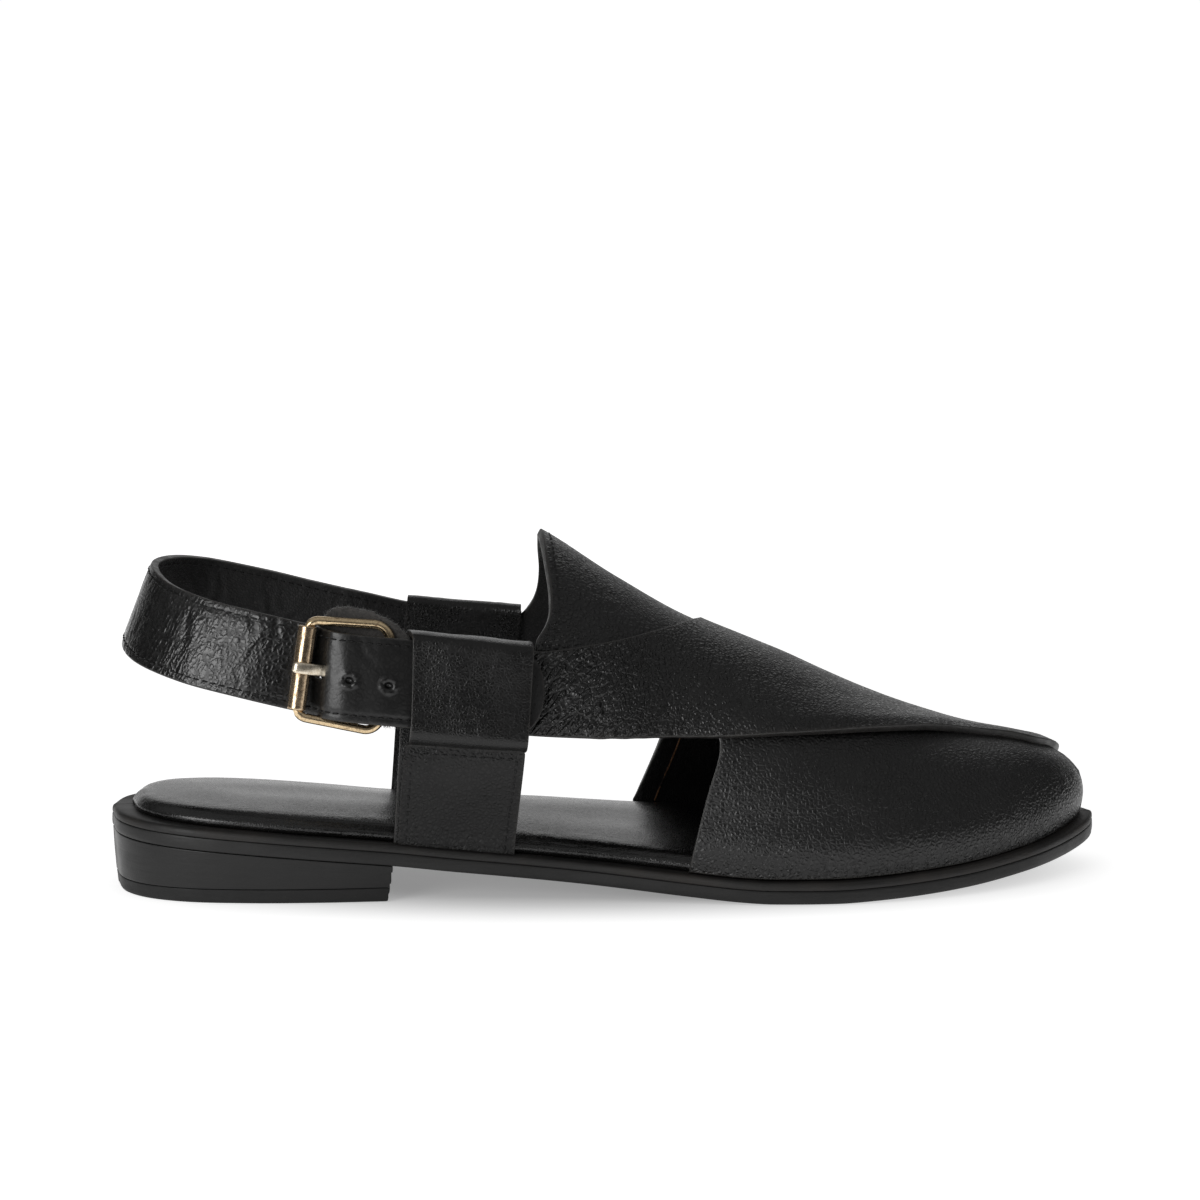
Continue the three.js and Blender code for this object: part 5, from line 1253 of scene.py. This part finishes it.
def stack(name, rows, mats, node, to_x=None, closed_caps=True):
    """rows: (offset, height function) from the bottom up, outside face of a sole layer."""
    rings = []
    for off, zf in rows:
        P = perimeter(off, to_x)
        z = np.array(zf(P[:, 2]) if callable(zf) else zf) + 0 * P[:, 0]
        rings.append(np.stack([P[:, 0], P[:, 1], z], 1))
    n = len(rings[0])
    V = np.vstack(rings)
    F = []
    for r in range(len(rings) - 1):
        for i in range(n):
            j = (i + 1) % n
            F.append((r * n + i, r * n + j, (r + 1) * n + j, (r + 1) * n + i))
    M = [0] * len(F)
    top = (len(rings) - 1) * n
    for base in (0, top):
        for i in range(0, n // 2):
            a, b, c, d = i, i + 1, (n - i - 1) % n, (n - i) % n
            q = [k for k in (base + a, base + b, base + c, base + d)]
            q = list(dict.fromkeys(q))
            if len(q) >= 3:
                F.append(tuple(q if base else q[::-1]))
                M.append(1 if base and len(mats) > 1 else 0)
    if volume(V, F) < 0: F = [tuple(reversed(f)) for f in F]
    return mesh_object(name, V, F, mats, [node], M)


b0 = lambda k: (lambda x: sole_bottom(x) + k)
stack("outsole_body", [(-2.2, b0(0.0)), (-0.7, b0(0.02)), (-0.25, b0(0.18)), (-0.04, b0(0.6)), (0.04, b0(1.5)), (0.02, b0(2.3)),
                       (-0.02, b0(3.1)), (-0.05, b0(3.6)), (-0.12, b0(3.78)), (-0.32, b0(3.88)), (-1.1, b0(OUTSOLE_T + 0.2))],
      [M_OUTSOLE], "outsole")
m0 = OUTSOLE_T + GAP
stack("ledge_layer", [(-1.4, b0(m0 - 0.09)), (-0.34, b0(m0 - 0.08)), (-0.14, b0(m0 + 0.04)), (-0.06, b0(m0 + 0.4)), (-0.10, b0(m0 + 1.2)),
                      (-0.26, b0(m0 + 1.75)), (-0.55, b0(m0 + 2.12)), (-1.0, b0(m0 + 2.34)), (-2.0, b0(m0 + 2.42)), (-3.2, b0(m0 + 2.40)),
                      (-4.6, b0(m0 + 2.32)), (-7.5, b0(m0 + 2.25))],
      [M_LEDGE], "midsole")
zt = TOP_PIECE_T + 0.12
up = lambda k: (lambda x: lerp(zt, sole_bottom(x) - 0.02, k))
rows = [(-1.9, up(0.0)), (-1.12, up(0.004)), (-1.0, up(0.014))]
for k in np.linspace(0.03, 0.97, 40):
    groove = sum(0.03 * math.exp(-((k - c) / 0.014) ** 2) for c in (0.335, 0.665))
    rows.append((-1.0 + 0.8 * k - groove + 0.10 * math.sin(math.pi * k), up(k)))
rows += [(-0.22, up(0.986)), (-0.30, up(0.996)), (-1.1, up(1.0))]
stack("heel_stack_body", rows, [M_HEEL], "heel_block", to_x=BREAST_X)
stack("heel_top_piece", [(-2.6, 0.0), (-1.75, 0.03), (-1.5, 0.35), (-1.42, 0.9), (-1.34, 1.8), (-1.22, 2.8), (-1.12, 3.6),
                         (-1.12, 3.9), (-1.26, 4.02), (-1.9, TOP_PIECE_T + 0.08)], [M_TOPPIECE], "top_piece", to_x=BREAST_X)

# ------------------------------------------------------------------ padded footbed
bed = perimeter(lambda x: -footbed_inset(x), n=240)[:, :2]
bed = resample(np.vstack([bed, bed[:1]]), step=1.0)[:-1]
bed_dense = resample(np.vstack([bed, bed[:1]]), step=0.5)
pts = []
for inset_, s_ in ((0.35, 1.0), (0.8, 1.0), (1.3, 1.1), (1.9, 1.1), (2.6, 1.2), (3.5, 1.3), (4.6, 1.5)):
    t_ = unit(np.roll(bed, -1, 0) - np.roll(bed, 1, 0))
    ring = bed + np.stack([-t_[:, 1], t_[:, 0]], 1) * inset_ * (1 if area(bed) > 0 else -1)
    pts.append(resample(np.vstack([ring, ring[:1]]), step=s_)[:-1])
gx, gy = np.meshgrid(np.arange(-146, 146, 1.7), np.arange(-50, 52, 1.7), indexing="ij")
grid = np.stack([(gx + (np.arange(gx.shape[1])[None, :] % 2) * 0.85).ravel(), gy.ravel()], 1)
grid = grid[inside(grid, bed)]
grid = grid[away(bed_dense, grid[:, 0], grid[:, 1]) > 5.6]
allp = np.vstack([bed] + pts + [grid])
vo, _, fo, orig, _, _ = delaunay_2d_cdt([Vector(p) for p in allp.tolist()], [], [list(range(len(bed)))], 1, 1e-6)
P2 = np.array([tuple(v) for v in vo])
tri = [tuple(f) for f in fo if len(f) == 3]
D = away(bed_dense, P2[:, 0], P2[:, 1])


_bl, _bm = side_offset("lateral", lambda x: -footbed_inset(x)), side_offset("medial", lambda x: -footbed_inset(x))


def bed_height(X, Y, D):
    yl, ym = np.interp(X, _bl[:, 0], _bl[:, 1]), np.interp(X, _bm[:, 0], _bm[:, 1])
    across = np.clip((Y - yl) / np.maximum(ym - yl, 1.0), 0, 1)
    arch = PAD_ARCH * smooth((across - 0.3) / 0.6) * smooth((X + 75) / 60) * smooth((75 - X) / 50)
    roll = (PAD_SIDE - 1.2) * np.sqrt(np.clip(1 - (1 - np.clip(D / 3.0, 0, 1)) ** 2, 0, 1))
    base = 1.6 + roll + 0.5 * smooth(D / 6) + (PAD_CROWN - 0.5) * smooth(D / 24) + arch * smooth(D / 3)
    heel_cup = -0.7 * np.exp(-(((X + 108) / 26) ** 2 + (Y / 17) ** 2))
    ball = -0.5 * np.exp(-(((X - 62) / 30) ** 2 + ((Y - 3) / 26) ** 2))
    wrinkle = ripple(X, Y, 51, 44, (-78, -18, -32, -20), 0.10, 1.2, angle=88, spread=50, length=3) \
        + ripple(X, Y, 52, 40, (-78, 20, -36, -18), 0.06, 1.6, angle=80, spread=80, length=4) \
        + ripple(X, Y, 53, 60, (-140, 60, -36, 36), 0.035, 2.4, angle=80, spread=120, length=7)
    return base + heel_cup + ball + wrinkle * smooth(D / 1.5)


Zb = sole_top(P2[:, 0]) + GAP - 0.2
Ztop = Zb + bed_height(P2[:, 0], P2[:, 1], D)
first = {}
for i, o in enumerate(orig):
    for k in o: first.setdefault(k, i)
bid = [first[i] for i in range(len(bed))]
top = np.stack([P2[:, 0], P2[:, 1], Ztop], 1)
bottom = np.stack([P2[:, 0], P2[:, 1], Zb], 1)
V = [top, bottom]
N_ = len(top)
cx = bed - (np.roll(bed, -1, 0) + np.roll(bed, 1, 0)) / 2
t_ = unit(np.roll(bed, -1, 0) - np.roll(bed, 1, 0))
onrm = np.stack([t_[:, 1], -t_[:, 0]], 1) * (1 if area(bed) > 0 else -1)
F = [t for t in tri] + [tuple(i + N_ for i in t[::-1]) for t in tri]
ring_ids = [np.array(bid)]
cnt = 2 * N_
for k, (o_, zf) in enumerate(((0.30, 0.86), (0.46, 0.62), (0.42, 0.36), (0.18, 0.12))):
    z = Zb[bid] + (Ztop - Zb)[bid] * zf
    xy = bed + onrm * o_
    V.append(np.stack([xy[:, 0], xy[:, 1], z], 1))
    ring_ids.append(np.arange(cnt, cnt + len(bid)))
    cnt += len(bid)
ring_ids.append(np.array(bid) + N_)
for r in range(len(ring_ids) - 1):
    p, q = ring_ids[r], ring_ids[r + 1]
    for i in range(len(bid)):
        j = (i + 1) % len(bid)
        F.append((p[i], q[i], q[j], p[j]))
V = np.vstack(V)
F = [tuple(int(i) for i in f) for f in F]
F = outward(V, F)
edge_d = np.concatenate([D, D, np.zeros(len(V) - 2 * N_)])
pad = mesh_object("footbed_pad", V, F, [M_PAD], ["insole"],
                  attrs={"edge": edge_d + 3, "crease": 0.5 * smooth(1 - edge_d / 9) + 0.12, "face": 0 * edge_d})

# ------------------------------------------------------------------ buckle
CORNER = 2.0
path = []
corners = [(0, -FRAME_BAR_HALF, 1, 1), (LEN, -FRAME_ROLLER_HALF, -1, 1), (LEN, FRAME_ROLLER_HALF, -1, -1), (0, FRAME_BAR_HALF, 1, -1)]
for k, (a, b, sa, sb) in enumerate(corners):
    r_ = (4.2, 3.2, 3.2, 5.2)[k]
    cx_, cy_ = a + sa * r_, b + sb * r_
    for i in range(13):
        w = math.pi + k * half + (i / 12) * half
        path.append(local(cx_ + r_ * math.cos(w), cy_ + r_ * math.sin(w), 0))
path = np.array(path)
path = resample(np.vstack([path, path[:1]]), step=0.55)[:-1]
a_of = (path - BAR) @ E1
wire = np.where(a_of > LEN - 0.6, 1.15, 1.3) + 0.008 * np.sin(np.arange(len(path)) * 0.37)
V, F = tube(path, wire, closed=True, sides=22, up=E3)
mesh_object("buckle_wire", V, F, M_METAL, ["buckle_frame"])

prof = []
Lh = FRAME_ROLLER_HALF - CORNER + 0.1
for t_k in np.linspace(0, 1, 6): prof.append((ROLLER_R - 0.42 * (1 - math.sin(t_k * half)) , -Lh + 0.42 * (1 - math.cos(t_k * half))))
for z_ in np.linspace(-Lh + 0.8, Lh - 0.8, 26): prof.append((ROLLER_R - 0.03 * abs(math.sin(z_ * 1.7)) - 0.012 * math.sin(z_ * 6.1), z_))
for t_k in np.linspace(1, 0, 6): prof.append((ROLLER_R - 0.42 * (1 - math.sin(t_k * half)), Lh - 0.42 * (1 - math.cos(t_k * half))))
prof += [(1.55, Lh - 0.02), (1.55, -Lh + 0.02)]
sd = 44
ang = np.linspace(0, 2 * np.pi, sd, endpoint=False)
ax, ay = E1, np.cross(E2, E1)
V = np.array([ROLLER + E2 * z_ + (ax * math.cos(w) + ay * math.sin(w)) * (r_ + (0.035 if 0.0 < (w - 4.2) < 0.12 else 0)) for r_, z_ in prof for w in ang])
F = [(i * sd + j, i * sd + (j + 1) % sd, ((i + 1) % len(prof)) * sd + (j + 1) % sd, ((i + 1) % len(prof)) * sd + j)
     for i in range(len(prof)) for j in range(sd)]
mesh_object("buckle_roller_tube", V, outward(V, F), M_ROLLER, ["buckle_roller"])

tip_up = ROLLER_R + GAP + 0.75
ac = [(2.1 * math.cos(w), 2.1 * math.sin(w)) for w in np.linspace(0.75, 2 * math.pi - 0.9, 30)][::-1]
blade = [(1.8, 1.1), (3.4, 0.8), (6, 0.4), (9, 0.4), (12, 0.5), (15, 0.6), (17.8, 1.2), (19.8, 2.4), (LEN - 2.2, tip_up - 0.35), (LEN, tip_up + 0.05),
         (LEN + 1.6, tip_up - 0.05), (LEN + 2.9, tip_up - 0.45)]
cl = resample(catmull([(a, c) for a, c in ac[:-1]] + blade, 8), step=0.35)
C = BAR + cl[:, :1] * E1 + cl[:, 1:2] * E3
t_ = unit(np.gradient(C, axis=0))
nn = unit(np.cross(np.broadcast_to(E2, t_.shape), t_))
s_ = np.concatenate([[0], np.cumsum(np.linalg.norm(np.diff(C, axis=0), axis=1))])
end = smooth((s_[-1] - s_) / 1.2) ** 0.5
hw = 1.62 * lerp(0.62, 1.0, end) * lerp(0.8, 1.0, smooth(s_ / 14))
ht = 0.85 * lerp(0.35, 1.0, end) * lerp(0.75, 1.0, smooth(s_ / 10))
sd = 20
ang = np.linspace(0, 2 * np.pi, sd, endpoint=False)
sx, sy = np.sign(np.cos(ang)) * np.abs(np.cos(ang)) ** 0.55, np.sign(np.sin(ang)) * np.abs(np.sin(ang)) ** 0.55
V = (C[:, None] + E2[None, None] * (sx[None, :, None] * hw[:, None, None]) + nn[:, None] * (sy[None, :, None] * ht[:, None, None])).reshape(-1, 3)
F = [(i * sd + j, i * sd + (j + 1) % sd, (i + 1) * sd + (j + 1) % sd, (i + 1) * sd + j) for i in range(len(C) - 1) for j in range(sd)]
F += [tuple(range(sd))[::-1], tuple(range((len(C) - 1) * sd, len(C) * sd))]
mesh_object("buckle_tongue", V, outward(V, F), M_PRONG, ["buckle_prong"])

# leather of the panel above, turned round the hinge bar above and below the tongue
parts = []
for s0, s1 in ((-11.2, -2.6), (2.6, 11.2)):
    prof = []
    for b in np.linspace(s0, s1, 14):
        e_ = min(b - s0, s1 - b)
        prof.append((EYE_R - 0.35 * max(0, 1 - e_ / 0.5) ** 2 + 0.05 * math.sin(b * 2.3), b))
    prof += [(1.65, s1 - 0.05), (1.65, s0 + 0.05)]
    sd = 36
    ang = np.linspace(0, 2 * np.pi, sd, endpoint=False)
    V = np.array([BAR + E2 * b + (E1 * math.cos(w) + E3 * math.sin(w)) * r_ for r_, b in prof for w in ang])
    F = [(i * sd + j, i * sd + (j + 1) % sd, ((i + 1) % len(prof)) * sd + (j + 1) % sd, ((i + 1) % len(prof)) * sd + j)
         for i in range(len(prof)) for j in range(sd)]
    parts.append((V, outward(V, F)))
V, F = merge(parts)
mesh_object("hinge_turns", V, F, M_STRAP, ["upper"], attrs={"edge": np.full(len(V), 5.0), "crease": np.full(len(V), 0.4)})

# ------------------------------------------------------------------ stitches on the panels
A, n = on_last(under_back, 2.4, UNDER_OUT + 0.02)
runs = [cut_run(A, n, lambda q: (q[:, 2] > 69) & (q[:, 1] < 3))]
seam_piece("peak_stitches", runs, pitch=2.5, length=1.7, r=0.24)

# raw edge of the lining inside the panel above, by its rear edge
raw = on("medial", [(x + 6.4, z) for x, z in OVER_REAR[:4]], OVER_IN, 40)
C = last_offset(raw[:, 0], raw[:, 1], np.full(len(raw), OVER_IN - 0.12))
V, F = tube(C, 0.26, sides=8, up=(0, 1, 0.2))
mesh_object("lining_raw_edge", V, F, M_RAW, ["upper"])

# ------------------------------------------------------------------ floor, light, camera
bpy.ops.mesh.primitive_plane_add(size=1, location=(0, 0, 0))
floor = bpy.context.active_object
floor.name = "studio_floor"
floor.scale = (6.0, 6.0, 1)
floor.location.z = -0.0002
m, t, b = nodes_of("studio_floor_paint")
w = Net(t)
f = w.noise(w.obj, 40, 3.0)
sx_ = w.new("ShaderNodeSeparateXYZ")
t.links.new(w.obj, sx_.inputs[0])
near = w.ramp(w.math("MULTIPLY", sx_.outputs["Y"], 6.0), -0.47, -0.36)
t.links.new(w.mix(near, (0.04, 0.04, 0.04), w.mix(f, (0.62, 0.62, 0.62), (0.65, 0.65, 0.65))), b.inputs["Base Color"])
# painted shadow: the floor's glow falls to 0.30 inside an oval under the shoe and rises to full beyond it
painted_shadow_oval = w.math("SQRT", w.math("ADD", w.math("POWER", w.math("MULTIPLY", sx_.outputs["X"], 6 / 0.125), 2.0),
                             w.math("POWER", w.math("MULTIPLY", sx_.outputs["Y"], 6 / 0.055), 2.0)))
near = w.math("MULTIPLY", near, w.ramp(painted_shadow_oval, 0.55, 1.35, 0.30, 1.0))
t.links.new(w.ramp(f, 0.3, 0.7, 0.75, 0.85), b.inputs["Roughness"])
b.inputs["Specular IOR Level"].default_value = 0.1
far = w.ramp(w.math("ADD", w.math("MULTIPLY", sx_.outputs["Y"], 6.0), 0.0), 0.25, 1.6)
b.inputs["Emission Color"].default_value = (1, 1, 1, 1)
t.links.new(w.math("MULTIPLY", near, w.math("MULTIPLY_ADD", far, 0.24, 0.86)), b.inputs["Emission Strength"])
floor.data.materials.append(m)

world = bpy.data.worlds.new("studio")
bpy.context.scene.world = world
world.use_nodes = True
wt = world.node_tree
seen = wt.nodes["Background"]
seen.inputs["Color"].default_value, seen.inputs["Strength"].default_value = (1.0, 1.0, 1.0, 1), 1.02
# the studio's walls: bright behind and above the shoe, dim in front of it
room = wt.nodes.new("ShaderNodeBackground")
wtc, sep = wt.nodes.new("ShaderNodeTexCoord"), wt.nodes.new("ShaderNodeSeparateXYZ")
wt.links.new(wtc.outputs["Generated"], sep.inputs[0])
mr = wt.nodes.new("ShaderNodeMapRange")
mr.interpolation_type = "SMOOTHSTEP"
wt.links.new(sep.outputs["Y"], mr.inputs["Value"])
for k_, v_ in (("From Min", 0.66), ("From Max", 0.97), ("To Min", 0.0), ("To Max", 0.86)): mr.inputs[k_].default_value = v_


def band(socket, rows):
    n = wt.nodes.new("ShaderNodeMapRange")
    n.interpolation_type = "SMOOTHSTEP"
    wt.links.new(socket, n.inputs["Value"])
    for k_, v_ in zip(("From Min", "From Max", "To Min", "To Max"), rows): n.inputs[k_].default_value = v_
    return n.outputs["Result"]


def join(op, a, c):
    n = wt.nodes.new("ShaderNodeMath")
    n.operation = op
    for i, v_ in enumerate((a, c)):
        if hasattr(v_, "is_output"): wt.links.new(v_, n.inputs[i])
        else: n.inputs[i].default_value = v_
    return n.outputs[0]


front_wall = join("MULTIPLY", band(sep.outputs["Z"], (0.12, 0.75, 0.0, 0.36)), band(sep.outputs["Y"], (0.05, 0.5, 1.0, 0.0)))
wt.links.new(join("ADD", mr.outputs["Result"], join("ADD", front_wall, 0.072)), room.inputs["Strength"])
lp, ms = wt.nodes.new("ShaderNodeLightPath"), wt.nodes.new("ShaderNodeMixShader")
wt.links.new(lp.outputs["Is Camera Ray"], ms.inputs[0])
wt.links.new(room.outputs[0], ms.inputs[1])
wt.links.new(seen.outputs[0], ms.inputs[2])
wt.links.new(ms.outputs[0], wt.nodes["World Output"].inputs["Surface"])


def softbox(name, at, to, size, power, color=(1, 1, 1)):
    d = bpy.data.lights.new(name, "AREA")
    d.shape, d.size, d.size_y, d.energy, d.color = "RECTANGLE", size[0], size[1], power, color
    o = bpy.data.objects.new(name, d)
    bpy.context.scene.collection.objects.link(o)
    o.location = at
    o.rotation_euler = (Vector(to) - Vector(at)).to_track_quat("-Z", "Y").to_euler()
    return o


softbox("overhead", (0.05, 0.98, 0.92), (0, 0.05, 0.03), (1.4, 0.7), 1.1)
softbox("left_wall", (-0.76, -0.86, 0.32), (-0.08, 0, 0.06), (0.62, 0.5), 5.4)

E_, PSI, DIST, FPX = math.radians(7.106), math.radians(4.442), 1000.0, 3408.55
T_ = np.array([-3.674, 0.0, 81.93]) + SHIFT
Fw = np.array([math.sin(PSI) * math.cos(E_), math.cos(PSI) * math.cos(E_), -math.sin(E_)])
cam_data = bpy.data.cameras.new("camera")
cam_data.sensor_fit, cam_data.sensor_width = "HORIZONTAL", 36.0
cam_data.lens = FPX / 1200 * 36
cam_data.clip_start, cam_data.clip_end = 0.05, 50
cam = bpy.data.objects.new("camera", cam_data)
bpy.context.scene.collection.objects.link(cam)
cam.location = Vector((T_ - DIST * Fw) / 1000)
cam.rotation_euler = Vector(Fw).to_track_quat("-Z", "Y").to_euler()
bpy.context.scene.camera = cam
bpy.context.scene.view_settings.view_transform = "Standard"
